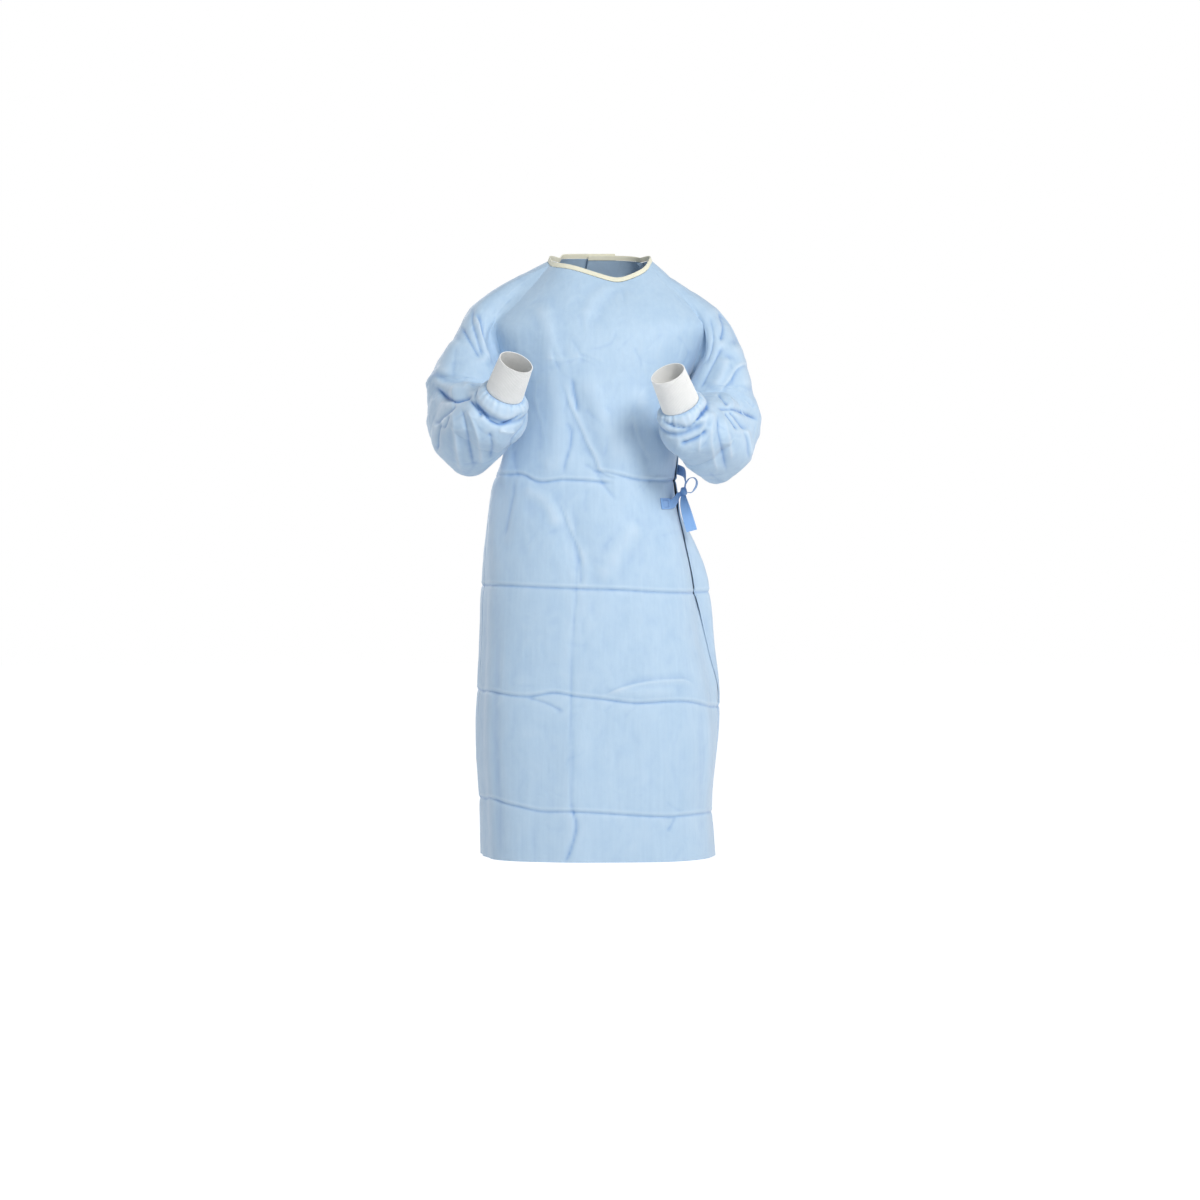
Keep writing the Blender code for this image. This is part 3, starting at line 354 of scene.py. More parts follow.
def neck_skew(level, around):
    """How far the askew neckline is raised or lowered."""
    rise = sum(height * np.exp(-((around - middle) / half_width)**2)
               for middle, half_width, height in NECK_SKEW)
    return rise * (1 - around**8) * ease(level, *NECK_SKEW_LEVELS)


def smooth_row(level, around):
    """Points of the body's surface with no folds, at one level."""
    around = np.where(around > 3, around - 4, around)
    around = np.where(around < -1, around + 4, around)
    points = np.zeros((len(around), 3))
    for back in (False, True):
        for right in (False, True):
            here = (around > 1) == back
            here &= ((around < 2) if back else (around > 0)) == right
            if here.any():
                share = np.abs(2 - around[here]) if back else np.abs(around[here])
                points[here] = quarter_points(*section(level, back, right), share)
    points[:, 2] += np.where(around <= 1, neck_skew(level, around), 0.0)
    return points


def row_normals(level, around):
    """Outward normals of the body's surface at one level."""
    step = NORMAL_STEP
    low, high = around - step, around + step
    if level > ARMPIT:
        behind = around > 1
        at_seam = np.abs(around - 1) < step
        low = np.where(at_seam & behind, around, low)
        high = np.where(at_seam & ~behind, around, high)
        high = np.where(around > 3 - step, around, high)
        low = np.where(around < step - 1, around, low)
    across = smooth_row(level, high) - smooth_row(level, low)
    up = smooth_row(min(level + step, NECK), around) - smooth_row(level - step, around)
    return unit(np.cross(across, up))


def wrap(around):
    """The same place with around between -1 and 3."""
    return (around + 1) % 4 - 1 if not -1 <= around <= 3 else around


def fold_rise(level, around, place):
    """How far the broad folds lift the cloth along its normal, along one row."""
    rise = np.zeros(len(around))
    for row in SOFT_FOLDS:
        fold = dict(zip(FOLD_COLUMNS, row))
        start_level, end_level = fold["from_level"], fold["to_level"]
        t = (level - start_level) / (end_level - start_level)
        if not FOLD_SHARES[0] < t < FOLD_SHARES[1]:
            continue
        middle = wrap(fold["from_around"] + (fold["to_around"] - fold["from_around"]) * t)
        offset = np.linalg.norm(place - smooth_row(level, np.array([middle])), axis=1)
        fade = ease(t, *FOLD_START)
        if end_level > HEM:
            fade = fade * (1 - ease(t, *FOLD_END))
        bump = fold["rise"] * fade * np.exp(-(offset / fold["half_width"])**2)
        rise += np.where(np.abs(middle - around) > FOLD_AROUND, 0.0, bump)
    return rise


def stand_off(height, around):
    """How far the right side stands off at each place, from its height in the middle."""
    reach = np.where(around < STAND_OFF_AT, *STAND_OFF_REACH)
    return height * np.exp(-((around - STAND_OFF_AT) / reach)**2)


def flap(level):
    """Where the back panels' free edges lie at a level, and how far the side stands off."""
    return read_table(FLAP_EDGES, FLAP_COLUMNS, level)


def outer_lift(level, around):
    """How far the outer back panel lies outside the body's surface."""
    return (LAYER_LIFT * (1 - ease(around, *LIFT_FADE))
            + stand_off(flap(level)["stand_off"], around))


def side_lift(level, around):
    """How far the layer under the outer panel follows it out, low on the right side."""
    height = flap(level)["stand_off"] + SIDE_CLOSE
    return stand_off(height, around) * ease(-level, *SIDE_CLOSE_LEVELS)


def panel_row(level, around, lift=None):
    """Points of a panel's outer face along one row, and the normals there."""
    around = np.asarray(around, float)
    normals = row_normals(level, around)
    place = smooth_row(level, around)
    fade = np.ones(len(around))
    if level <= ARMPIT:
        fade = 1 - np.exp(-((np.abs(around) - 1) / SIDE_SEAM_REACH)**2)
    rise = fold_rise(level, around, place) * fade * (1 - ease(level, *NECK_FADE))
    if lift is not None:
        rise = rise + lift(level, around)
    return place + normals * rise[:, None], normals


def skirt_levels():
    """The levels of the rows up to the armpit, closer together at the pressed fold lines."""
    fine = np.linspace(HEM, ARMPIT, 4001)
    weight = 1.0 + sum(FOLD_CROWDING * np.exp(-((fine - middle) / half)**4)
                       for middle, half in FOLD_BANDS)
    place = np.concatenate(([0.0], np.cumsum((weight[1:] + weight[:-1]) / 2)))
    return np.interp(np.linspace(0, place[-1], SKIRT_ROWS), place, fine)


def panel_grid(columns, start, end, lift=None):
    """Points, normals and (around, level) of a panel; start and end give its edges."""
    levels = np.concatenate((skirt_levels(), np.linspace(ARMPIT, NECK, YOKE_ROWS + 1)[1:]))
    points, normals, places = [], [], []
    share = np.linspace(0, 1, columns + 1)
    for level in levels:
        around = start(level) + (end(level) - start(level)) * share
        row, row_out = panel_row(level, around, lift)
        points.append(row)
        normals.append(row_out)
        places.append(np.stack((around, np.full(columns + 1, level)), axis=-1))
    return np.array(points), np.array(normals), np.array(places)


# ---------------------------------------------------------------- creases
def smooth_path(points, steps=5):
    """A finer polyline through a crease's points."""
    if len(points) < 3:
        return points
    keys = lengths_along(points)
    fine = np.linspace(0, keys[-1], (len(points) - 1) * steps + 1)
    return np.array([curve_through(keys, points, at) for at in fine])


def path_distance(places, path):
    """Distance to a polyline, share of the way along it, and which side (+1 is its left)."""
    lengths = np.linalg.norm(np.diff(path, axis=0), axis=1)
    before = np.concatenate(([0], np.cumsum(lengths)))
    best = np.full(len(places), 1e9)
    along = np.zeros(len(places))
    side = np.ones(len(places))
    for index, length in enumerate(lengths):
        way = (path[index + 1] - path[index]) / length
        offset = places - path[index]
        t = np.clip(offset @ way, 0, length)
        gap = offset - t[:, None] * way
        distance = np.hypot(gap[:, 0], gap[:, 1])
        nearer = distance < best
        best = np.where(nearer, distance, best)
        along = np.where(nearer, (before[index] + t) / before[-1], along)
        side = np.where(nearer, np.sign(way[0] * offset[:, 1] - way[1] * offset[:, 0]), side)
    return best, along, side


def press_profile(offset):
    """A pressed fold, from the offset above its line: a broad V, a sharp line and a rim."""
    distance = np.abs(offset)
    return (-PRESS_DEPTH * np.exp(-distance / PRESS_WIDTH)
            - LINE_DEPTH * np.exp(-(distance / LINE_WIDTH)**1.5)
            + RIM_HEIGHT * np.exp(-((offset - RIM_AT) / RIM_WIDTH)**2))


def crease_rise(places, crease):
    """Rise along the normal that one crease gives at each place, all in metres."""
    kind, depth, width, points = crease
    path = smooth_path(np.asarray(points, float) / 1000)
    depth, width = depth / 1000, width / 1000
    reach = width * CREASE_REACH
    low, high = path.min(axis=0) - reach, path.max(axis=0) + reach
    near = np.all((places > low) & (places < high), axis=1)
    rise = np.zeros(len(places))
    if not near.any():
        return rise
    distance, along, side = path_distance(places[near], path)
    taper = ease(along, 0, CREASE_TAPER) * (1 - ease(along, 1 - CREASE_TAPER, 1))
    if kind == "line":
        profile = -np.exp(-distance / width)
    elif kind == "ridge":
        profile = np.exp(-distance / width)
    elif kind == "soft":
        profile = np.exp(-(distance / width)**2)
    else:
        lit = 0.5 + 0.5 * np.tanh(side * distance / LIP_TURN)
        low_side = LIP_LOW * (1 - lit) * np.exp(-2 * distance / width)
        profile = lit * np.exp(-distance / width) - low_side
    rise[near] = depth * profile * taper
    return rise


def add_creases(places, creases):
    """The sum of all creases at the places."""
    flat = places.reshape(-1, 2)
    rise = np.zeros(len(flat))
    for crease in creases:
        rise += crease_rise(flat, crease)
    return rise.reshape(places.shape[:-1])


def stray_creases(seed, count, low, high, depth):
    """Random short faint creases, most of them up and down, between two corners in mm."""
    rng = np.random.default_rng(seed)
    creases = []
    for _ in range(count):
        place = rng.uniform(low, high)
        turn = rng.normal(-math.pi / 2, 0.75)
        points = [place]
        for _ in range(3):
            place = place + rng.uniform(9, 30) * np.array((math.cos(turn), math.sin(turn)))
            turn += rng.normal(0, 0.30)
            points.append(place)
        kind = "lip" if rng.random() < 0.45 else "line"
        creases.append((kind, depth * rng.uniform(0.3, 1.0), rng.uniform(2.6, 5.0), points))
    return creases


def front_view(points):
    """Where points are seen from the front: metres right of and above the origin."""
    spread = VIEW_DISTANCE / (VIEW_DISTANCE + points[..., 1])
    across = points[..., 0] * spread
    up = VIEW_HEIGHT + (points[..., 2] - VIEW_HEIGHT) * spread
    return np.stack((across, up), axis=-1)


# ---------------------------------------------------------------- shells
def make_mesh(name, vertices, quads, triangles, sharp=50):
    """An object from points, quads and triangles, shaded smooth with its rims sharp."""
    corners = np.concatenate((quads.ravel(), triangles.ravel())).astype(np.int32)
    starts = np.concatenate((np.arange(len(quads)) * 4,
                             quads.size + np.arange(len(triangles)) * 3))
    mesh = bpy.data.meshes.new(name)
    mesh.vertices.add(len(vertices))
    mesh.vertices.foreach_set("co", np.asarray(vertices, np.float32).ravel())
    mesh.loops.add(len(corners))
    mesh.loops.foreach_set("vertex_index", corners)
    mesh.polygons.add(len(starts))
    mesh.polygons.foreach_set("loop_start", starts.astype(np.int32))
    mesh.update(calc_edges=True)
    mesh.shade_smooth()
    mesh.set_sharp_from_angle(angle=math.radians(sharp))
    piece = bpy.data.objects.new(name, mesh)
    bpy.context.scene.collection.objects.link(piece)
    return piece


def grid_quads(rows, columns, closed):
    """Corner numbers of a grid's quads."""
    steps = columns if closed else columns - 1
    row, step = np.meshgrid(np.arange(rows - 1) * columns, np.arange(steps), indexing="ij")
    after = (step + 1) % columns
    return np.stack((row + step, row + after, row + columns + after, row + columns + step),
                    axis=-1).reshape(-1, 4)


def rim_triangles(fine, coarse):
    """Triangles between a fine line of points and one with every second of them."""
    a, b, c = fine[:-1:2], fine[1::2], fine[2::2]
    near, far = coarse[:-1], coarse[1:]
    return np.concatenate((np.stack((a, near, b), axis=1), np.stack((b, near, far), axis=1),
                           np.stack((b, far, c), axis=1)))


def pad_grid(values, width, closed):
    """A grid with more rows and columns all round; a closed one goes on round itself."""
    values = np.pad(values, ((width, width), (0, 0)), mode="edge")
    return np.pad(values, ((0, 0), (width, width)), mode="wrap" if closed else "edge")


def lowest_near(rise, closed):
    """The least rise within some rows and columns of each point."""
    padded = pad_grid(rise, LOWEST_REACH, closed)
    rows, columns = rise.shape
    least = rise
    for i, j in np.ndindex(2 * LOWEST_REACH + 1, 2 * LOWEST_REACH + 1):
        least = np.minimum(least, padded[i:i + rows, j:j + columns])
    return least


def hollows(rise, closed):
    """How deep each point lies below the cloth around it, in mm; negative on a ridge."""
    rows, columns = rise.shape
    reach, span = HOLLOW_REACH, 2 * HOLLOW_REACH + 1
    smooth = rise
    for _ in range(2):
        padded = pad_grid(smooth, reach, closed)
        down = sum(padded[i:i + rows, reach:reach + columns] for i in range(span))
        across = sum(padded[reach:reach + rows, i:i + columns] for i in range(span))
        smooth = down / (2 * span) + across / (2 * span)
    return (smooth - rise) * 1000


def shell(name, base, normals, rise, closed=False, thick=SHELL):
    """A closed thin shell: a fine outer face and a coarser inner one, joined round the rims."""
    outer = base + normals * rise[..., None]
    depth = lowest_near(rise, closed) - thick
    inner = (base + normals * depth[..., None])[::2, ::2]
    rows, columns = outer.shape[:2]
    few_rows, few_columns = inner.shape[:2]
    shift = rows * columns
    outside = grid_quads(rows, columns, closed)
    inside = shift + grid_quads(few_rows, few_columns, closed)[:, ::-1]
    number = np.arange(shift).reshape(rows, columns)
    few = shift + np.arange(few_rows * few_columns).reshape(few_rows, few_columns)
    if closed:
        number = np.concatenate((number, number[:, :1]), axis=1)
        few = np.concatenate((few, few[:, :1]), axis=1)
    rims = [rim_triangles(number[0], few[0]), rim_triangles(number[-1], few[-1])[:, ::-1]]
    if not closed:
        rims += [rim_triangles(number[:, 0], few[:, 0])[:, ::-1],
                 rim_triangles(number[:, -1], few[:, -1])]
    quads = np.concatenate((outside, inside))
    triangles = np.concatenate(rims)
    middle = rows // 2, columns // 2
    out = np.cross(outer[middle[0], middle[1] + 1] - outer[middle],
                   outer[middle[0] + 1, middle[1]] - outer[middle])
    if np.dot(out, normals[middle]) < 0:
        quads, triangles = quads[:, ::-1], triangles[:, ::-1]
    vertices = np.concatenate((outer.reshape(-1, 3), inner.reshape(-1, 3)))
    piece = make_mesh(name, vertices, quads, triangles)
    # how deep each point lies, which the materials turn into painted shade in the creases
    depths = np.concatenate((hollows(rise, closed).ravel(), np.zeros(inner.size // 3)))
    hollow = piece.data.attributes.new("hollow", "FLOAT", "POINT")
    hollow.data.foreach_set("value", depths.astype(np.float32))
    return piece, outer


def sweep(name, sections, sharp=70):
    """A solid through a row of sections, each with the same number of corners."""
    count, sides = sections.shape[:2]
    quads = grid_quads(count, sides, True)
    middles = np.stack((sections[0].mean(axis=0), sections[-1].mean(axis=0)))
    corner = np.arange(sides)
    after = (corner + 1) % sides
    first = np.stack((np.full(sides, count * sides), after, corner), axis=1)
    last = np.stack((np.full(sides, count * sides + 1), (count - 1) * sides + corner,
                     (count - 1) * sides + after), axis=1)
    triangles = np.concatenate((first, last))
    half = sections[count // 2]
    run = sections[count // 2 + 1].mean(axis=0) - half.mean(axis=0)
    area = sum(np.cross(half[i] - half.mean(axis=0), half[(i + 1) % sides] - half.mean(axis=0))
               for i in range(sides))
    if np.dot(area, run) < 0:
        quads, triangles = quads[:, ::-1], triangles[:, ::-1]
    vertices = np.concatenate((sections.reshape(-1, 3), middles))
    return make_mesh(name, vertices, quads, triangles, sharp)


# ---------------------------------------------------------------- crease tables
def cloth_points(text):
    """Places in mm from a text of pairs."""
    return [tuple(float(value) for value in pair.split(",")) for pair in text.split()]


def view_points(text):
    """Front-view places in mm, from pairs on a view 1200 wide with 1.95 mm to a step."""
    return [((x - 600) * 1.95, (266 - y) * 1.95) for x, y in cloth_points(text)]


def read_creases(read_points, text):
    """Creases from lines with a kind, a depth and a width in mm, and the path's pairs.

    An indented line goes on with the one above it.
    """
    creases = []
    for row in text.strip().replace("\n ", " ").split("\n"):
        if not row.startswith("#"):
            kind, depth, width, path = row.split(maxsplit=3)
            creases.append((kind, float(depth), float(width), read_points(path)))
    return creases


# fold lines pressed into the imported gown: the lines in front, as pairs on the view, then the
# level at the left side, at the right side and at the middle of the back
PRESSES = (
    (("440,473 470,474 500,475 524,475 535,481 563,480 599,482 616,484",
      "590,471 601.5,472 617,475 635,479 660,480.6 700,480 740,479"),
     -0.41, -0.419, -0.428),
    (("420,583 450,584 487,585 512,586 533,587 584,589 619,590 655,592 696,593 740,594 770,594",),
     -0.622, -0.638, -0.632),
    (("420,683 450,686 485,690 496,693 528,696.6 555,693 576,696.6 599,699 630,703 697,703"
      " 713,707 740,709 770,709",),
     -0.825, -0.86, -0.846),
    (("420,788 450,792 490,798 503,803 519,807 537,811 569,812 603,813.6 639,816 669,817"
      " 705,813.6 740,811 770,811",),
     -1.034, -1.064, -1.05),
)
PRESS_FACING = (0.10, 0.45)    # where a panel turns to face the view and takes the lines in front
PRESS_TAPER = 0.03             # how far from its ends a pressed line fades out
BACK_WAVE = (0.004, 5.3, 40)   # how the lines wander on the back: rise, waves and start
# a pressed fold in metres: its V, the sharp line in it and the rim above that line
PRESS_DEPTH, PRESS_WIDTH = 0.0021, 0.016
LINE_DEPTH, LINE_WIDTH = 0.0017, 0.0026
RIM_HEIGHT, RIM_AT, RIM_WIDTH = 0.0008, 0.0062, 0.0026
LIP_TURN = 0.0026              # how soon a lip turns from its low to its high side
LIP_LOW = 0.6                  # how deep its low side is, as a share of the other's height
CREASE_TAPER = 0.2             # the share of a crease over which each of its ends fades
CREASE_REACH = 6               # widths from a crease at which nothing of it is left
FRONT_CREASES = read_creases(view_points, """
# down the middle, where the gown was folded in half
line   0.9   3  572,480 575,520 576,590 573,640 571,700 572,760 571.6,796 572.5,812 575,822
                571,846 562,870
line   1.5 3.5  571,798 573,812 576,822 572,846 563,868
# from the armpits down and across the chest
lip    2.2   6  559,378 566,391 569,403 575,416 581,429 587,443.5 595,458 600,471 612,476 632,477
line   1.8   4  572,376 574,391 576,401 577,416
line   1.6   4  562.5,422 569,426 570.5,443.5 566,461 563,476
lip    0.8   4  576,350 584,354 591,357 606,364
lip    0.8   4  542,358 560,361 580,358 600,366
lip    0.9   6  532,392 536,408 541,424 543,440
lip    1.1   5  632,418 637,436 643,450 650,462
soft     4  11  499,410 507,438 506,462 500,486
line     1   5  580,462 594,470 604,485 618,502
soft   1.8  20  548,360 556,405 554,445 545,484
soft   1.7  20  584,370 604,420 628,470
soft   1.5  18  634,380 652,430 656,480
# below the waist
lip    1.7   5  559,498 567,521 574,538 580,552 584,572
line   1.2 3.5  577,552 580,566 581,586
line   1.6   6  514,476 513,494 510,509 507,523 505,540
soft   1.8  14  520,486 545,500 560,530
soft     2  20  640,520 620,550 600,585
# beside the third pressed line
line   1.4 3.5  524,697 532,699 546,703 566,713
lip    2.4   5  697,688 689,681 665,680 639,683 617,689 600,697
soft   1.8  12  606,690 640,693 680,692
line   1.2   4  676,816 673,823 667,832
line   1.6   4  706,806 711,814 713,824
# folds down both sides, and a shallow one below the neck
soft   1.1   7  491,560 489,640 488,740 491,800 494,870
soft  -0.8   8  499,590 497,660 496,740 499,800 502,870
soft  -0.7   8  700,690 701,760 700,800 702,860
soft     1   7  708,690 709,760 708,800 711,860
soft  -0.8  12  630,280 615,292 604,305 596,330
soft     1  12  622,276 606,286 592,300 582,322
line   0.6   6  617,280 622,290 625,304
soft   2.2  18  540,300 548,335 552,370
""")
SLEEVE_CREASES = {
    "left": read_creases(view_points, """
lip      6   8  492,364 486,348 482,334 479,322 474,312
line   3.5   6  459,324 468,338 476,351 481,360
line   2.5   5  474,304 472,320 478,340 484,362
soft     4  16  456,336 448,358 440,378
line     7   6  436,386 444,395 452,400 462,398 474,394
soft   3.5   9  432,376 446,386 462,388 474,384
line   4.5   5  456,402 448,411 440,418 433,426
line     3   4  448,414 446,422 443,430
line   4.5   5  440,420 437,434 437,453
ridge  3.5   7  452,412 455,430 457,448 462,474
ridge  2.5   6  464,404 474,424 480,446 482,468
line     3   6  460,404 465,425 470,450 474,470
line   4.5   4  468,398 474,406 482,418
line     5 4.5  470,397 481,410 491,422 499,425 512,420 528,409
line   3.5   6  528,412 524,426 513,440 508,455
ridge  2.5   5  498,429 507,432 516,432
line   2.5   5  488,430 492,444 490,460
"""),
    "right": read_creases(view_points, """
line   4.5 4.5  715,406 722,408 732,408 745,413 760,421
line     4 3.5  724,410 731,419 739,431
line     4 3.5  729,409 737,418 746,431
lip    4.5   6  744,428 748,440 750,458
line   4.5   4  711,403 704,412 694,422
line     5 5.5  678,444 688,442 697,438 708,428
line   2.2 3.5  668,423 676,424 686,427
line   3.5   6  718,309 724,326 720,343
line     3   6  724,344 712,365 699,391
line   2.2   6  710,313 713,341 704,369
lip      4   5  720,392 730,380 736,369 746,364
line   3.5   4  717,393 722,398 729,405
soft     4  14  735,340 742,365 746,392
soft     3  12  728,356 722,374 712,390
ridge    3   7  716,408 711,430 712,450 718,474
line   2.8   6  718,410 719,432 723,454 727,474
ridge  2.6   6  722,412 728,436 732,462
ridge  2.4   6  708,412 701,434 698,456
line   4.5 4.5  700,394 709,402 702,413 688,427 672,426 659,415
soft     3   8  692,416 704,420 712,410
"""),
}


def press_rise(places, seen, normals):
    """The pressed fold lines on a panel, read from the front where it faces that way."""
    facing = ease(-normals[..., 1], *PRESS_FACING)
    around, level = places[..., 0], places[..., 1]
    at_back = np.clip(1 - (around - 2)**4, 0, 1)
    high, waves, first = BACK_WAVE
    rise = np.zeros(facing.shape)
    for texts, left, right, back in PRESSES:
        behind = np.interp(around, (-1, 1, 2, 3), (left, right, back, left))
        behind += high * np.sin(around * waves + left * first) * at_back
        paths = [smooth_path(np.array(view_points(text)) / 1000) for text in texts]
        fades = [ease(seen[..., 0], path[0, 0], path[0, 0] + PRESS_TAPER)
                 * (1 - ease(seen[..., 0], path[-1, 0] - PRESS_TAPER, path[-1, 0]))
                 for path in paths]
        total = np.maximum(sum(fades), 1e-6)
        for path, fade in zip(paths, fades):
            above = seen[..., 1] - np.interp(seen[..., 0], path[:, 0], path[:, 1])
            offset = above * facing + (level - behind) * (1 - facing)
            rise += press_profile(offset) * (fade * facing + fade / total * (1 - facing))
    return rise


# what the camera doesn't see: mm along the cloth from the middle of the front, and mm of level
BACK_CREASES = read_creases(cloth_points, """
soft   3.5  14  440,-398 520,-402 610,-432
line   2.4   5  446,-404 500,-424 545,-462
line     2   5  446,-386 500,-372 566,-338
line   1.6 3.5  660,-20 658,-300 664,-620 659,-900 662,-1160
lip    2.4   6  760,-250 724,-330 700,-424
line     2   5  826,-256 804,-336 770,-412
line   1.8 4.5  560,-236 586,-300 590,-380
soft    -3  18  600,-440 640,-520 650,-600
lip    2.2   5  730,-436 752,-500 744,-560 756,-616
line   1.8   4  500,-640 520,-664 560,-672 600,-668
line     2 4.5  850,-640 828,-680 832,-740
lip    2.4   5  600,-836 640,-820 700,-816 760,-822
line   1.6   4  470,-860 480,-900 472,-960
line   1.8   4  700,-1050 708,-1090 696,-1155
line   1.6   4  880,-1040 872,-1090 880,-1155
line   1.8 4.5  -300,-250 -280,-320 -290,-400
lip    1.8   5  930,-430 918,-500 926,-580
line   1.4   4  940,-700 930,-760 934,-830
soft     3  12  380,-430 392,-600 386,-800 396,-1150
soft  -2.6  12  430,-460 446,-640 440,-860 452,-1150
""")
# the same for a sleeve: 1.3 mm to a degree round it from its inside, and mm down from the seam
ROUND_SLEEVE = 1.3
SLEEVE_BACK_CREASES = read_creases(cloth_points, """
soft     5  16  250,40 262,130 250,230
line   3.5   6  300,30 318,120 310,210 290,260
line     3   5  380,60 366,150 340,220
lip    4.5   7  180,230 240,262 310,268 380,246
line     4   6  200,276 260,296 330,300 400,276
line     3   5  214,320 280,336 350,330
ridge    3   8  300,300 306,360 298,430
line   3.5   6  340,320 350,380 344,450
line     3   5  250,350 242,420 256,480
soft  -3.5  12  400,330 410,400 400,460
line   2.6   5  40,60 60,130 50,200
line   2.6   5  150,40 140,120 160,190
""")
AROUND_LENGTH = 0.33           # metres of cloth for a step of one around the body
CREASE_GAIN = 1.6              # how much deeper the panels' creases are than in their tables
SLEEVE_GAIN = 1.5              # and the sleeves'
STRAY_CREASES = stray_creases(5, 110, (330, -1140), (990, -110), 0.75)
FRONT_CREASES += stray_creases(6, 46, (-190, -470), (190, -110), 0.60)
FRONT_CREASES += stray_creases(8, 44, (-225, -1130), (225, -440), 0.42)
SLEEVE_STRAYS = stray_creases(9, 60, (10, 40), (450, 330), 1.1)
SLEEVE_STRAYS += stray_creases(10, 46, (20, 230), (440, 460), 1.6)
# how far the outer panel's free edge comes down, and how far in that reaches; then where it sets
# in at the neck, ends above the tie and sets in again below it, all down from the neck
EDGE_CLOSE = 0.0046
EDGE_CLOSE_REACH = 0.026
EDGE_CLOSE_NECK = (0.015, 0.055)
EDGE_CLOSE_UPPER = (0.30, 0.35)
EDGE_CLOSE_LEVELS = (0.455, 0.50)
PANEL_FACING = (0.05, 0.35)    # where cloth turns to face the view and has its own creases
SLEEVE_FACING = (-0.15, 0.25)
NECK_CALM = (0.004, 0.03)      # how far below the neck line the cloth lies still
# small unevenness: rise, size and offset of soft swells, then rise, size and stretch of crumples
PANEL_UNEVEN = (((0.0011, 0.085, 4.0), (0.0006, (0.035, 0.035, 0.060), 9.0)),
                ((0.00032, 0.030, (1, 1, 1.5)), (0.00014, 0.012, (1, 1, 1))))
SLEEVE_UNEVEN = (((0.0014, 0.07, 2.0), (0.0006, 0.03, 5.0)),
                 ((0.00035, 0.028, (1, 1, 1)), (0.00015, 0.012, (1, 1, 1))))


def add_uneven(rise, points, swells, crumples):
    """The rise with the cloth's small unevenness on it."""
    rise = rise + sum(high * noise(points / size + offset) for high, size, offset in swells)
    return rise + sum(high * crumple(points, size, stretch) for high, size, stretch in crumples)


def cloth_rise(base, normals, places, creases):
    """Everything that a panel's cloth does on top of its broad folds."""
    seen = front_view(base)
    facing = ease(-normals[..., 1], *PANEL_FACING)
    rise = add_creases(seen, creases) * facing
    flat = places * np.array((AROUND_LENGTH, 1.0))
    rise += add_creases(flat, BACK_CREASES + STRAY_CREASES) * (1 - facing)
    rise = rise * CREASE_GAIN + press_rise(places, seen, normals)
    return add_uneven(rise, base, *PANEL_UNEVEN) * ease(NECK - places[..., 1], *NECK_CALM)


# ---------------------------------------------------------------- panels
def panel(name, columns, start, end, lift, creases=(), closes=False):
    """A panel's shell and its outer points; start and end give its edges at a level."""
    base, normals, places = panel_grid(columns, start, end, lift)
    rise = cloth_rise(base, normals, places, creases)
    if closes:
        down = -places[..., 1]
        close = ease(down, *EDGE_CLOSE_LEVELS)
        close += (1 - ease(down, *EDGE_CLOSE_UPPER)) * ease(down, *EDGE_CLOSE_NECK)
        inside = (places[..., 0] - places[:, :1, 0]) * AROUND_LENGTH
        rise -= EDGE_CLOSE * close * np.exp(-(inside / EDGE_CLOSE_REACH)**2)
    return shell(name, base, normals, rise)


# ---------------------------------------------------------------- sleeves
def seam_line(levels, around, step, neck_out, armpit_out):
    """Points along a raglan seam, the way the sleeve leaves each and the panel's normals."""
    points, outs, normals = [], [], []
    for level in levels:
        (point, inside), normal = panel_row(level, (around, around + step))
        share = ease(level, *NECK_BLEND)
        out = unit(unit(point - inside) * (1 - share) + neck_out * share)
        start = ease(level, ARMPIT, YOKE_LEVELS[0])
        points.append(point)
        outs.append(unit(armpit_out * (1 - start) + out * start))
        normals.append(normal[0])
    return np.array(points), np.array(outs), np.array(normals)


def seam_start(side, angles):
    """The sleeve's first ring on the raglan seams and the neck: points, ways out, normals."""
    mirror = np.array((side, 1, 1))
    front, back = (1.0, BEHIND_RIGHT) if side > 0 else (-1.0, BEHIND_LEFT)
    neck_out = unit(mirror * NECK_OUT)
    neck_normal = unit(mirror * NECK_NORMAL)
    armpit_out = panel_row(ARMPIT, (front,))[1][0]
    stops = (ARMPIT, *YOKE_LEVELS)
    degrees = np.degrees(angles)
    index = np.arange(len(stops)) * SEAM_ANGLE / len(YOKE_LEVELS)
    in_front = degrees <= SEAM_ANGLE
    behind = degrees >= 360 - SEAM_ANGLE
    front_levels = np.interp(degrees[in_front], index, stops)
    back_levels = np.interp(360 - degrees[behind], index, stops)
    ahead = seam_line(front_levels, front, -side * SEAM_INWARD, neck_out, armpit_out)
    astern = seam_line(back_levels, back, side * SEAM_INWARD, neck_out, armpit_out)
    neck_front = panel_row(NECK, (front,))[0][0]
    neck_back = panel_row(NECK, (back,))[0][0]
    t = (degrees[~in_front & ~behind] - SEAM_ANGLE) / (360 - 2 * SEAM_ANGLE)
    top = (neck_front * (1 - t)[:, None] + neck_back * t[:, None]
           + mirror * NECK_BULGE * np.sin(np.pi * t)[:, None])
    across = (top, np.tile(neck_out, (len(t), 1)), np.tile(neck_normal, (len(t), 1)))
    return [np.concatenate(parts) for parts in zip(ahead, across, astern)]


def elbow_fold_rise(angles):
    """The elbow's broad folds at angles round the tube."""
    rise = np.zeros(len(angles))
    for middle, half_width, height in ELBOW_FOLDS:
        offset = (np.degrees(angles) - middle + 180) % 360 - 180
        rise += height * np.exp(-(offset / half_width)**2)
    return rise


def tube_ring(angles, centre, inward, forward, half_wide, half_deep, folds=0.0):
    """A ring of the sleeve: inward points at the body, forward at the inside of the elbow."""
    way = (inward * half_wide * np.cos(angles)[:, None]
           + forward * half_deep * np.sin(angles)[:, None])
    return centre + way + unit(way) * (elbow_fold_rise(angles) * folds)[:, None]


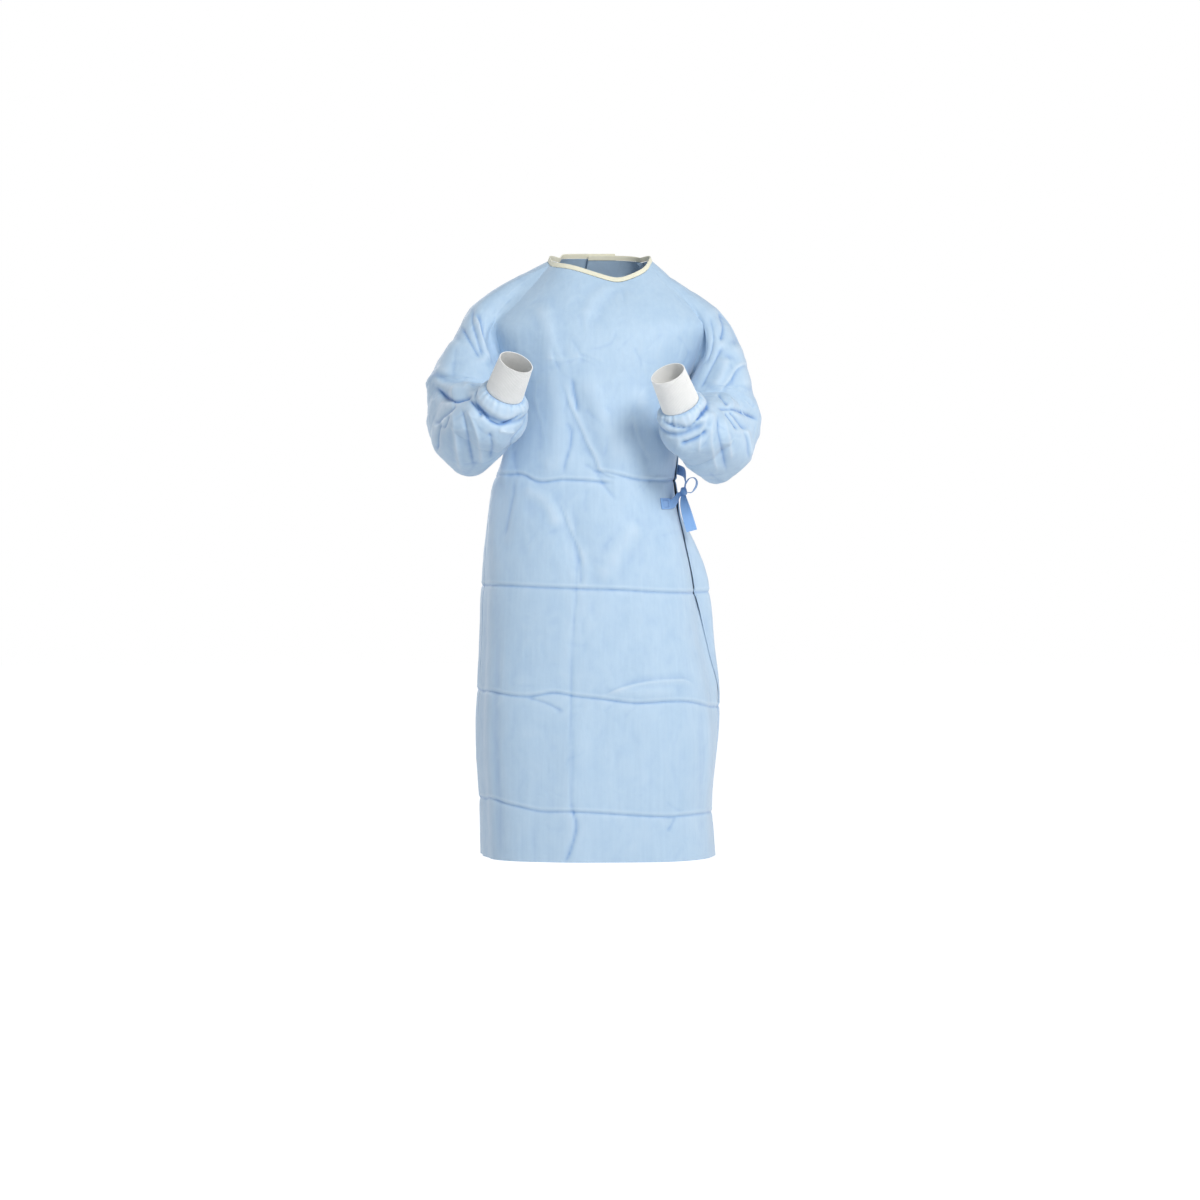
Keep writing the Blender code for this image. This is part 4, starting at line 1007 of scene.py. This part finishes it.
def arm_frame(arm):
    """The directions of an arm and the line that its elbow's rings turn on."""
    shoulder, elbow = np.array(arm["shoulder"]), np.array(arm["elbow"])
    upper = unit(elbow - shoulder)
    fore = unit(np.array(arm["cuff_base"]) - elbow)
    outward = unit(np.cross(upper, fore))
    if outward[0] * arm["side"] < 0:
        outward = -outward
    turn = math.acos(float(np.dot(upper, fore)))
    reach = arm["half_deep"] + ELBOW_PIVOT_ROOM
    return {"upper": upper, "fore": fore, "outward": outward, "turn": turn,
            "forward": unit(fore - upper * float(np.dot(fore, upper))),
            "pivot": elbow + unit(fore - upper) * reach / math.cos(turn / 2)}


def elbow_forward(bend, share):
    """The way from the tube's middle to the inside of the elbow, at a share of its bend."""
    angle = share * bend["turn"]
    return bend["forward"] * math.cos(angle) - bend["upper"] * math.sin(angle)


FOLD_SHARE = 0.6               # how much of the elbow's broad folds the cloth keeps
FOLD_FIRST = 0.35              # and how much of that the elbow starts with
FOLD_FULL = (0, 0.6)           # the shares of the bend between which the rest comes in


def elbow_ring(arm, bend, share, angles):
    """One ring of the bend."""
    ahead = elbow_forward(bend, share)
    deep = arm["half_deep"] + ELBOW_SAG * arm["sag"] * math.sin(math.pi * share)
    centre = bend["pivot"] - ahead * (ELBOW_PIVOT_ROOM + deep)
    folds = FOLD_SHARE * (FOLD_FIRST + (1 - FOLD_FIRST) * float(ease(share, *FOLD_FULL)))
    return tube_ring(angles, centre, -bend["outward"], ahead, arm["half_wide"], deep, folds)


def shoulder_rings(arm, bend, start, angles):
    """From the raglan seam to the first ring of the elbow, which isn't among them."""
    points, outs = start[:2]
    end_points = elbow_ring(arm, bend, 0.0, angles)
    first = points + outs * RAGLAN_GAP
    room = np.array((arm["side"], 1, 1)) * SHOULDER_OUT * arm["shoulder_room"]
    length = np.linalg.norm(end_points - first, axis=1, keepdims=True)
    away = unit(outs * SEAM_FLOW + (end_points - first) / length * (1 - SEAM_FLOW))
    outside = (0.5 - 0.5 * np.cos(angles))[:, None]
    rings = []
    for t in np.arange(SHOULDER_ROWS) / SHOULDER_ROWS:
        ring = bridge(t, first, away * length * OUTWARD_PULL,
                      end_points, bend["upper"] * length * DOWNWARD_PULL)
        rings.append(ring + room * outside * math.sin(math.pi * t))
    return rings


def cuff_frame(arm, bend):
    """The cuff's start, its axis, and the wide and deep directions of its oval."""
    axis = unit(arm["cuff_axis"])
    wide = unit(arm["cuff_wide"])
    forward = unit(np.cross(wide, axis))
    if np.dot(forward, elbow_forward(bend, 1.0)) < 0:
        forward = -forward
    return np.array(arm["cuff_base"]), axis, wide, forward


def forearm_rings(arm, bend, angles):
    """From the elbow's last ring, which isn't among them, to the cuff."""
    base, axis, wide, forward = cuff_frame(arm, bend)
    elbow_ahead = elbow_forward(bend, 1.0)
    start = bend["pivot"] - elbow_ahead * (ELBOW_PIVOT_ROOM + arm["half_deep"])
    run = np.linalg.norm(base - start)
    sag = np.array((0.0, 0.0, -arm["sag"] * FOREARM_SAG))
    rings = []
    for t in np.arange(1, FOREARM_ROWS + 1) / FOREARM_ROWS:
        centre = bridge(t, start, bend["fore"] * run, base, axis * run)
        centre = centre + sag * math.sin(math.pi * t)
        inward = unit(-bend["outward"] * (1 - t) + wide * t)
        ahead = unit(elbow_ahead * (1 - t) + forward * t)
        narrow = t**TAPER_POWER
        half_wide = arm["half_wide"] * (1 - narrow) + CUFF_HALF_WIDE[0] * narrow
        half_deep = arm["half_deep"] * (1 - narrow) + CUFF_HALF_DEEP[0] * narrow
        rings.append(tube_ring(angles, centre, inward, ahead, half_wide, half_deep,
                               FOLD_SHARE * (1 - t)))
    return rings


def ring_normals(grid):
    """Outward normals of a tube's points from their neighbours."""
    around = np.roll(grid, -1, axis=1) - np.roll(grid, 1, axis=1)
    along = np.gradient(grid, axis=0)
    normals = unit(np.cross(around, along))
    middle = grid.shape[0] // 2
    centre = grid[middle].mean(axis=0)
    if np.dot(normals[middle, 0], grid[middle, 0] - centre) < 0:
        normals = -normals
    return normals


def outline_rise(name, degrees, down):
    """How far a sleeve's cloth bulges or dents, from the degrees round it and metres down it."""
    rise = np.zeros(np.broadcast(degrees, down).shape)
    for middle, reach, stops in SLEEVE_OUTLINES[name]:
        places, heights = np.array(stops, float).T / 1000
        rise += np.interp(down, places, heights) * np.exp(-((degrees - middle) / reach)**2)
    return rise


# the end of a sleeve, in metres: how far it rises or sinks, where, and how far that reaches
FULL_END = (0.0048, 0.014, 0.0115)
END_TROUGH = (0.0042, 0.031, 0.0045)
PULLED = (0.0008, 0.004, 0.020)
# the rings of seam allowance under the panels: how far back along the cloth, and how far in
TUCKS = ((0.0080, 0.0034), (0.0015, 0.0022))
NECK_TUCK = 0.03               # the share of that at the neck, where none of it shows
SEAM_ROWS = 3                  # rows with no creases at the seam
SEAM_FADE = 12                 # and rows over which they come in


def gathers(grid, angles):
    """The full end of a sleeve, drawn together where it is sewn to the cuff."""
    steps = np.linalg.norm(np.diff(grid, axis=0), axis=2).mean(axis=1)
    left = np.concatenate((np.cumsum(steps[::-1])[::-1], [0.0]))[:, None]
    wave = np.sin(angles * 17 + 1.1 * np.sin(angles * 5)) + 0.6 * np.sin(angles * 26 + 2.0)
    full = FULL_END[0] * np.exp(-((left - FULL_END[1]) / FULL_END[2])**4)
    pulled = PULLED[0] * wave * ease(left, 0.0, PULLED[1]) * np.exp(-left / PULLED[2])
    trough = (END_TROUGH[0] * np.exp(-((left - END_TROUGH[1]) / END_TROUGH[2])**2)
              * (0.7 + 0.3 * np.sin(angles * 2 + 4)))
    return full * (1 + 0.25 * np.sin(angles * 3 + 1)) + pulled - trough


def tuck_rows(start, angles):
    """Rings of seam allowance under the panels."""
    points, outs, normals = start
    at_neck = np.abs(np.degrees(angles) - 180) < 180 - SEAM_ANGLE + 1
    share = np.where(at_neck, NECK_TUCK, 1.0)[:, None]
    return [points - (outs * back + normals * inward) * share for back, inward in TUCKS]


def sleeve(name):
    """One raglan sleeve; also gives the place of its cuff and its line at the neck."""
    arm = ARMS[name]
    bend = arm_frame(arm)
    angles = np.arange(SLEEVE_COLUMNS) * 2 * math.pi / SLEEVE_COLUMNS
    start = seam_start(arm["side"], angles)
    rings = tuck_rows(start, angles) + shoulder_rings(arm, bend, start, angles)
    for step in range(ELBOW_ROWS + 1):
        rings.append(elbow_ring(arm, bend, step / ELBOW_ROWS, angles))
    grid = np.array(rings + forearm_rings(arm, bend, angles))
    down = np.cumsum(np.linalg.norm(np.diff(grid, axis=0, prepend=grid[:1]), axis=2).mean(axis=1))
    out = ring_normals(grid)
    seam = down[len(TUCKS)]
    degrees, below = np.meshgrid(np.degrees(angles), down - seam)
    grid = grid + out * outline_rise(name, degrees, below)[..., None]
    out = ring_normals(grid)
    out[:len(TUCKS)] = start[2]
    facing = ease(-out[..., 1], *SLEEVE_FACING)
    rise = add_creases(front_view(grid), SLEEVE_CREASES[name]) * facing * SLEEVE_GAIN
    hidden = np.stack((degrees * ROUND_SLEEVE / 1000, below + seam), axis=-1)
    rise += add_creases(hidden, SLEEVE_BACK_CREASES) * (1 - facing)
    rise += add_creases(hidden, SLEEVE_STRAYS)
    rise = add_uneven(rise, grid, *SLEEVE_UNEVEN)
    rise[:SEAM_ROWS] = 0
    rise[SEAM_ROWS:SEAM_ROWS + SEAM_FADE] *= np.linspace(0, 1, SEAM_FADE)[:, None]**2
    rise += gathers(grid, angles)
    piece = shell("sleeve_cloth_" + name, grid, out, rise, closed=True)[0]
    neck = start[0][np.abs(np.degrees(angles) - 180) < 180 - SEAM_ANGLE]
    return piece, cuff_frame(arm, bend), neck


CUFF_RIBS = 84
RIB_HEIGHT = 0.00035
CUFF_START = -0.10             # where it starts inside the sleeve, in shares of its length
CUFF_TUCK = (0.0035, -0.04, 0.0)  # how much narrower it is there, and the shares where that ends
KNIT_THICK = 0.0012


def cuff(name, base, axis, wide, forward):
    """The ribbed knit tube at the end of the sleeve."""
    columns = CUFF_RIBS * RIB_POINTS
    angles = np.arange(columns) * 2 * math.pi / columns
    rings = []
    for share in np.linspace(CUFF_START, 1.0, CUFF_ROWS):
        tuck = CUFF_TUCK[0] * float(1 - ease(share, *CUFF_TUCK[1:]))
        half_wide, half_deep = (start + (end - start) * share - tuck
                                for start, end in (CUFF_HALF_WIDE, CUFF_HALF_DEEP))
        centre = base + axis * (SEAM_GAP + CUFF_LENGTH * share)
        rings.append(tube_ring(angles, centre, wide, forward, half_wide, half_deep))
    grid = np.array(rings)
    rise = np.tile(RIB_HEIGHT * np.cos(angles * CUFF_RIBS), (CUFF_ROWS, 1))
    return shell("cuff_knit_" + name, grid, ring_normals(grid), rise, closed=True,
                 thick=KNIT_THICK)[0]


# ---------------------------------------------------------------- neck binding
def neck_line(outer_back, left_neck, front, right_neck, inner_back):
    """Points along the neck, from the outer flap to the inner one."""
    return np.concatenate((outer_back[-1], left_neck[::-1], front[-1], right_neck, inner_back[-1]))


def resample(points, count):
    """Evenly spaced points along a line of points."""
    keys = lengths_along(points)
    return read_line(points, keys, np.linspace(0, keys[-1], count))


def settle(points, times):
    """The line with its small steps smoothed out; its ends stay."""
    points = points.copy()
    for _ in range(times):
        points[1:-1] = (points[:-2] + 2 * points[1:-1] + points[2:]) / 4
    return points


# the neck tape's section: out from the neck line and above it, up the outside, round its fold
# and down the inside; then how round the fold is, and how far in its middle lies
TAPE_OUTSIDE = ((0.0007, 0.0), (0.0008, 0.002), (0.0006, 0.005))
TAPE_INSIDE = ((-0.0020, 0.005), (-0.0021, 0.002), (-0.0020, 0.0))
TAPE_ROUND = 0.0013
TAPE_MIDDLE = 0.0008
TAPE_STITCH = (0.0006, 0.0022)  # where its stitches are
# stitches: from one to the next, length and width
STITCH_SIZES = {"neck": (0.0036, 0.0026, 0.0006), "tab": (0.0030, 0.0022, 0.0008)}
STITCH_HIGH = 0.0004
STITCH_TOP = 0.6               # how wide a stitch is on top, as a share of its width below


def neck_binding(line):
    """The folded tape along the neck, and its stitches."""
    line = settle(resample(line, TAPE_SECTIONS), TAPE_SETTLES)
    run = unit(np.gradient(line, axis=0))
    across = unit(np.cross(run, (0, 0, 1)))
    across *= np.sign(np.sum(across[:, :2] * line[:, :2], axis=1))[:, None]
    up = unit(np.array((0, 0, 1.0)) - across * BINDING_LEAN)
    out = unit(across - up * np.sum(across * up, axis=1, keepdims=True))
    fold = [(math.cos(turn) * TAPE_ROUND - TAPE_MIDDLE,
             BINDING_HEIGHT - TAPE_ROUND + TAPE_ROUND * math.sin(turn))
            for turn in np.linspace(0, math.pi, TAPE_FOLD_POINTS)]
    profile = (*TAPE_OUTSIDE, *fold, *TAPE_INSIDE)
    sections = np.array([[point + o * away + u * (BINDING_LIFT + height)
                          for away, height in profile] for point, o, u in zip(line, out, up)])
    seam = line + out * TAPE_STITCH[0] + up * (BINDING_LIFT + TAPE_STITCH[1])
    return sweep("neck_tape", sections), stitches("neck_stitches", seam, out, "neck")


# ---------------------------------------------------------------- stitches
def stitches(name, path, outs, size):
    """A row of raised thread dashes along a path on a surface with these outward directions."""
    pitch, long, wide = STITCH_SIZES[size]
    keys = lengths_along(path)
    middles = np.arange(pitch / 2, keys[-1], pitch)
    read = [read_line(path, keys, at) for at in (middles - long / 2, middles + long / 2)]
    away = unit(read_line(outs, keys, middles))
    side = unit(np.cross(read[1] - read[0], away)) * wide / 2
    corners = []
    for end in read:
        corners += [end - side, end + side, end + side * STITCH_TOP + away * STITCH_HIGH,
                    end - side * STITCH_TOP + away * STITCH_HIGH]
    vertices = np.stack(corners, axis=1).reshape(-1, 3)
    box = np.array(((0, 1, 2, 3), (7, 6, 5, 4), (0, 4, 5, 1), (1, 5, 6, 2), (2, 6, 7, 3),
                    (3, 7, 4, 0)))
    quads = (np.arange(len(middles))[:, None, None] * 8 + box).reshape(-1, 4)
    return make_mesh(name, vertices, quads, np.zeros((0, 3), int))


# ---------------------------------------------------------------- waist tie
def fine_rail(points):
    """A smooth line through a rail's points."""
    keys = np.arange(len(points))
    fine = np.linspace(0, len(points) - 1, (len(points) - 1) * TIE_STEPS + 1)
    return np.array([curve_through(keys, points, at) for at in fine])


def ribbon(name, top, bottom, outward):
    """A soft flat tape between two rails."""
    top, bottom = fine_rail(np.array(top)), fine_rail(np.array(bottom))
    middle = (top + bottom) / 2
    run = np.gradient(middle, axis=0)
    sense = 1.0 if np.dot(np.cross(run[0], top[0] - bottom[0]), outward) > 0 else -1.0
    thick = unit(np.cross(run, top - bottom)) * sense
    shares = np.linspace(-1, 1, TIE_POINTS)
    depth, place, width = TIE_CREASE
    thin, drop = TIE_EDGE
    body = TIE_THICK * (thin + (1 - thin) * np.sqrt(1 - drop * shares**8))
    body -= depth * TIE_THICK * np.exp(-((shares - place) / width)**2)
    sections = []
    for high, low, away, centre in zip(top, bottom, thick, middle):
        half = (high - low) / 2
        face = [centre + half * s + away * b for s, b in zip(shares, body)]
        sections.append(face + [centre + half * s for s in shares[::-1]])
    return sweep(name, np.array(sections), 60)


BOX_STITCH = ((0.545, -0.4735), (0.545, -0.4595), (0.612, -0.4590), (0.612, -0.4730),
              (0.545, -0.4735))


def box_stitch():
    """The stitched square that holds the tab to the front."""
    path, outs = [], []
    for (around, level), (next_around, next_level) in zip(BOX_STITCH[:-1], BOX_STITCH[1:]):
        for t in np.linspace(0, 1, 6)[:-1]:
            point, normal = panel_row(level + (next_level - level) * t,
                                      (around + (next_around - around) * t,))
            path.append(point[0] + normal[0] * (TIE_LIFT + TIE_THICK + SEAM_GAP))
            outs.append(normal[0])
    path.append(path[0])
    outs.append(outs[0])
    return stitches("tab_stitches", np.array(path), np.array(outs), "tab")


def rails(path, across, widths):
    """The two edges of a tape from its middle line, the direction of its width and its widths."""
    path = np.array(path, float)
    along = unit(np.gradient(path, axis=0))
    side = unit(np.asarray(across, float) - along * (along @ np.asarray(across, float))[:, None])
    half = np.array(widths)[:, None] / 2
    return list(path + side * half), list(path - side * half)


def at_knot(point):
    """Where a tie that comes from this point meets the knot."""
    away = unit(np.array(point) - KNOT)
    return tuple(np.array(KNOT) + away / np.linalg.norm(away / KNOT_HALF))


def sewn_tie(name, places, lift, free, widths, outward):
    """A tie that starts on a panel and runs free."""
    half = widths[0] / 2
    top, bottom = rails(free, (0.0, 0.0, 1.0), widths[len(places):])
    for rail, shift in ((top, half), (bottom, -half)):
        sewn = []
        for around, level in places:
            points, normals = panel_row(level + shift, (around,), lift)
            sewn.append(points[0] + normals[0] * (TIE_LIFT + SEWN_LIFT))
        rail[:0] = sewn
    return ribbon(name, top, bottom, outward)


def knot_ball():
    """The knot: a lumpy ball with the wraps of the tie pressed into it."""
    turns, heights = np.meshgrid(np.linspace(0, 2 * math.pi, KNOT_COLUMNS + 1)[:-1],
                                 np.linspace(0, math.pi, KNOT_ROWS + 2)[1:-1])
    way = np.stack((np.sin(heights) * np.cos(turns), np.sin(heights) * np.sin(turns),
                    np.cos(heights)), axis=-1)
    bumps = 0.05 * np.sin(5 * way[..., 2] + 4 * way[..., 0]) + 0.10 * noise(way * 1.7 + 3.1)
    ball = np.array(KNOT) + way * KNOT_HALF * (0.98 + bumps)[..., None]
    return sweep("tie_knot_cloth", ball)


def waist_tie():
    """Front tab, tie of the outer panel, knot, bow loop and hanging end."""
    tab = (*TAB_FREE, at_knot(TAB_FREE[-1]))
    back = (*BACK_TIE_FREE, at_knot(BACK_TIE_FREE[-1]))
    loop = (at_knot(LOOP_PATH[0]), *LOOP_PATH, at_knot(LOOP_PATH[-1]))
    tail = (at_knot(TAIL_PATH[0]), *TAIL_PATH)
    return {
        "tie_front_tab": sewn_tie("tab_cloth", TAB_SEWN, None, tab, TAB_WIDTHS, (0.5, -0.8, 0.0)),
        "tie_back": sewn_tie("back_tie_cloth", BACK_TIE_SEWN, outer_lift, back, BACK_TIE_WIDTHS,
                             (1.0, 0.2, 0.0)),
        "tie_loop": ribbon("loop_cloth", *rails(loop, LOOP_ACROSS, LOOP_WIDTHS), (0.0, 0.0, 1.0)),
        "tie_hanging_end": ribbon("hanging_end_cloth", *rails(tail, TAIL_ACROSS, TAIL_WIDTHS),
                                  (0.0, -1.0, 0.0)),
        "tie_knot": knot_ball(),
    }


# ---------------------------------------------------------------- materials
def fill(tree, node, values):
    """Set a node's inputs to values, or link them to the sockets that feed them."""
    for key, value in values.items():
        if isinstance(value, bpy.types.NodeSocket):
            tree.links.new(value, node.inputs[key])
        else:
            node.inputs[key].default_value = value
    return node


def new_material(name, color, roughness):
    """A material with its tree and its shader."""
    material = bpy.data.materials.new(name)
    material.use_nodes = True
    tree = material.node_tree
    shader = tree.nodes["Principled BSDF"]
    return material, tree, fill(tree, shader, {"Base Color": (*color, 1), "Roughness": roughness})


def add_node(tree, kind, values=(), **settings):
    """A node with its settings and its input values."""
    node = tree.nodes.new(kind)
    for key, value in settings.items():
        setattr(node, key, value)
    return fill(tree, node, dict(values))


def scaled(tree, scale):
    """Object coordinates stretched by a scale for each axis."""
    place = add_node(tree, "ShaderNodeTexCoord")
    return add_node(tree, "ShaderNodeMapping", {"Vector": place.outputs["Object"],
                                               "Scale": scale}).outputs["Vector"]


def noise_node(tree, scale, stretch=(1, 1, 1), detail=3.0):
    """A noise texture's value, at a number of features to a metre."""
    return add_node(tree, "ShaderNodeTexNoise", {"Vector": scaled(tree, stretch), "Scale": scale,
                                                 "Detail": detail}).outputs["Fac"]


def ramp(tree, value, low, high, from_color, to_color):
    """A colour between two, as the value goes from low to high."""
    node = add_node(tree, "ShaderNodeValToRGB", {"Fac": value})
    ends = zip(node.color_ramp.elements, (low, high), (from_color, to_color))
    for element, position, color in ends:
        element.position, element.color = position, (*color, 1)
    return node.outputs["Color"]


def spread(tree, value, low, high):
    """The value from 0 to 1 as a number from low to high."""
    return add_node(tree, "ShaderNodeMapRange", {"Value": value, "From Min": 0.3, "From Max": 0.7,
                                                 "To Min": low, "To Max": high}).outputs["Result"]


def bump(tree, height, strength, distance, under=None):
    """A bump of a height texture over another bump."""
    values = {"Height": height, "Strength": strength, "Distance": distance}
    if under is not None:
        values["Normal"] = under
    return add_node(tree, "ShaderNodeBump", values).outputs["Normal"]


def mixed(tree, share, first, second, blend="MULTIPLY"):
    """Two colours blended by a share."""
    return add_node(tree, "ShaderNodeMix", {0: share, 6: first, 7: second}, data_type="RGBA",
                    blend_type=blend).outputs[2]


# painted shade: the knit's colour darkens in the grooves between its ribs, most at this depth
RIB_GROOVE = 0.45              # depth of a groove between two ribs, in mm, at which it is darkest


def crease_shade_and_ridge_pale(tree, color, deep, pale, deepest=2.8):
    """Painted shade: the colour deepened in the creases, deepest at a depth in mm; and paler along
    the ridges.
    """
    depth = add_node(tree, "ShaderNodeAttribute", attribute_name="hollow").outputs["Fac"]
    for end, share, other in ((deepest, 0.85, deep), (-0.7 * deepest, 0.55, pale)):
        amount = add_node(tree, "ShaderNodeMapRange", {"Value": depth, "From Min": 0.0,
                                                       "From Max": end, "To Min": 0.0,
                                                       "To Max": share}).outputs["Result"]
        color = mixed(tree, amount, color, (*other, 1), "MIX")
    return color


def cells(tree, scale):
    """Distances from scattered points, at a number of them to a metre."""
    return add_node(tree, "ShaderNodeTexVoronoi", {"Vector": scaled(tree, (1, 1, 1)),
                                                   "Scale": scale}).outputs["Distance"]


def nonwoven_material(name, color, shade, roughness=0.56):
    """Spunbonded non-woven: cloudy, streaked down its length, with small bond points, with painted
    shade deepening its creases and its ridges paler.
    """
    material, tree, shader = new_material(name, color, roughness)
    cloud = noise_node(tree, 22.0, detail=4.0)
    streak = noise_node(tree, 160.0, (1.0, 1.0, 0.05), 3.0)
    base = ramp(tree, cloud, 0.25, 0.75, shade, color)
    tint = ramp(tree, streak, 0.3, 0.7, (0.94, 0.955, 0.97), (1.0, 1.0, 1.0))
    # painted shade: a deeper, bluer copy of the colour for the creases, and a paler one for the
    # ridges
    deep = tuple(value * share for value, share in zip(color, (0.26, 0.44, 0.74)))
    pale = tuple(value + (1 - value) * 0.35 for value in color)
    crumpled = bump(tree, noise_node(tree, 70.0, (1, 1, 0.6), 5.0), 0.45, 0.0014)
    fibres = bump(tree, noise_node(tree, 900.0, (1.0, 1.0, 0.35), 2.0), 0.25, 0.00025, crumpled)
    fill(tree, shader, {
        "Base Color": crease_shade_and_ridge_pale(tree, mixed(tree, 1.0, base, tint), deep, pale),
        "Roughness": spread(tree, noise_node(tree, 45.0), roughness - 0.06, roughness + 0.07),
        "Normal": bump(tree, cells(tree, 620.0), 0.22, 0.00022, fibres),
        "Sheen Weight": 0.35, "Sheen Roughness": 0.45, "Sheen Tint": (0.97, 0.97, 1.0, 1)})
    return material


def knit_material(name, color):
    """Soft cotton knit: matt, with small stitches, and painted shade darkening the grooves between
    its ribs.
    """
    material, tree, shader = new_material(name, color, 0.88)
    dim = tuple(0.94 * value for value in color)
    base = ramp(tree, noise_node(tree, 60.0), 0.3, 0.7, dim, color)
    soft = bump(tree, noise_node(tree, 1500.0, detail=2.0), 0.3, 0.0002)
    # painted shade in the grooves between the ribs, down to 0.8 of the colour
    fill(tree, shader, {
        "Base Color": crease_shade_and_ridge_pale(tree, base, tuple(0.80 * value for value in color), color,
                                   RIB_GROOVE),
        "Normal": bump(tree, cells(tree, 900.0), 0.35, 0.0003, soft),
        "Sheen Weight": 0.25, "Sheen Roughness": 0.6})
    return material


cloth = nonwoven_material("nonwoven_cloth", (0.485, 0.640, 0.800), (0.445, 0.605, 0.775))
knit = knit_material("rib_knit", (0.90, 0.90, 0.885))
tape = nonwoven_material("binding_tape", (0.86, 0.83, 0.67), (0.80, 0.77, 0.60), 0.75)
tie = nonwoven_material("tie_fabric", (0.24, 0.44, 0.78), (0.20, 0.39, 0.73), 0.60)
thread = knit_material("cream_thread", (0.90, 0.87, 0.72))
tie_thread = knit_material("blue_thread", (0.10, 0.22, 0.52))


def trim(piece, material):
    """Give a piece its material and its body."""
    piece.data.materials.append(material)
    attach(piece, "root")


def dress(piece, node, material):
    """Trim a piece, and hide the imported part of the node that it stands for."""
    trim(piece, material)
    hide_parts(node)


front, front_points = panel("front_cloth", FRONT_COLUMNS, lambda level: -1.0,
                            lambda level: 1.0, side_lift, FRONT_CREASES)
dress(front, "front_panel", cloth)
back_outer, back_outer_points = panel(
    "back_cloth_outer", OUTER_BACK_COLUMNS, lambda level: flap(level)["outer_edge"],
    lambda level: BEHIND_LEFT, outer_lift, closes=True)
dress(back_outer, "back_panel_outer", cloth)
back_inner, back_inner_points = panel(
    "back_cloth_inner", INNER_BACK_COLUMNS, lambda level: BEHIND_RIGHT,
    lambda level: flap(level)["inner_edge"], side_lift)
dress(back_inner, "back_panel_inner", cloth)
necks = {}
for side_name in ("left", "right"):
    sleeve_piece, cuff_place, necks[side_name] = sleeve(side_name)
    dress(sleeve_piece, "sleeve_" + side_name, cloth)
    dress(cuff(side_name, *cuff_place), "cuff_" + side_name, knit)
line = neck_line(back_outer_points, necks["left"], front_points, necks["right"], back_inner_points)
neck_tape, neck_stitches = neck_binding(line)
dress(neck_tape, "neck_binding", tape)
trim(neck_stitches, thread)
tab_stitches = box_stitch()
trim(tab_stitches, tie_thread)
for node, piece in waist_tie().items():
    dress(piece, node, tie)


# ---------------------------------------------------------------- stage
FLOOR_SIZE = 40.0
FLOOR_GLOW = 0.72
SOFT_SKY = ((0.88, 0.94, 1.0, 1), 0.38)  # what lights the gown; the camera sees plain white
LENS = 100                     # mm, on a sensor 36 mm wide
SENSOR = 36
# each light: place, target, size, power, colour
LIGHTS = {
    "key": ((1.6, -3.5, 1.7), (0, 0, -0.5), (1.2, 1.2), 126, (1.0, 0.985, 0.96)),
    "fill": ((-2.6, -3.6, 0.6), (0, 0, -0.6), (1.8, 2.2), 12, (1, 1, 1)),
    "side_left": ((-2.3, 0.9, 0.0), (0, 0, -0.6), (0.9, 2.6), 11, (1.0, 0.98, 0.95)),
    "side_right": ((2.3, 0.9, 0.0), (0, 0, -0.6), (0.9, 2.6), 16, (1.0, 0.98, 0.95)),
    "back": ((-1.8, 4.0, 0.8), (0, 0, -0.6), (2.6, 2.6), 50, (1, 1, 1)),
}


def area_light(name, place, target, size, power, color):
    """A soft box that looks at a target."""
    data = bpy.data.lights.new(name, "AREA")
    data.shape = "RECTANGLE"
    data.size, data.size_y = size
    data.energy = power
    data.color = color
    light = bpy.data.objects.new(name, data)
    light.location = place
    light.rotation_mode = "QUATERNION"
    light.rotation_quaternion = (Vector(target) - Vector(place)).to_track_quat("-Z", "Y")
    bpy.context.scene.collection.objects.link(light)


def white_floor():
    """A plain floor with a light of its own, which falls on nothing else."""
    mesh = bpy.data.meshes.new("floor")
    corners = ((-1, -1), (1, -1), (1, 1), (-1, 1))
    mesh.from_pydata([(x * FLOOR_SIZE, y * FLOOR_SIZE, FLOOR) for x, y in corners], [],
                     [(0, 1, 2, 3)])
    floor = bpy.data.objects.new("floor", mesh)
    white, tree, shader = new_material("floor_white", (0.92, 0.92, 0.93), 0.8)
    fill(tree, shader, {"Emission Color": (1, 1, 1, 1), "Emission Strength": FLOOR_GLOW})
    mesh.materials.append(white)
    bpy.context.scene.collection.objects.link(floor)
    own_light = bpy.data.collections.new("floor_light")
    own_light.objects.link(floor)
    floor.light_linking.receiver_collection = own_light


def sky():
    """White as the camera sees it, and softer as the gown is lit by it."""
    world = bpy.data.worlds.new("world")
    bpy.context.scene.world = world
    world.use_nodes = True
    tree = world.node_tree
    seen = fill(tree, tree.nodes["Background"], {"Color": (1, 1, 1, 1), "Strength": 1.0})
    soft = add_node(tree, "ShaderNodeBackground", {"Color": SOFT_SKY[0], "Strength": SOFT_SKY[1]})
    ray = add_node(tree, "ShaderNodeLightPath")
    mix = add_node(tree, "ShaderNodeMixShader", {0: ray.outputs["Is Camera Ray"],
                                                 1: soft.outputs[0], 2: seen.outputs[0]})
    tree.links.new(mix.outputs[0], tree.nodes["World Output"].inputs["Surface"])


def front_camera():
    """The camera straight in front."""
    data = bpy.data.cameras.new("camera")
    data.lens = LENS
    data.sensor_width = SENSOR
    camera = bpy.data.objects.new("camera", data)
    camera.location = (0, -VIEW_DISTANCE, VIEW_HEIGHT)
    camera.rotation_euler = (math.radians(90), 0, 0)
    bpy.context.scene.collection.objects.link(camera)
    bpy.context.scene.camera = camera
    bpy.context.scene.view_settings.view_transform = "Standard"


white_floor()
sky()
for name, settings in LIGHTS.items():
    area_light(name, *settings)
front_camera()
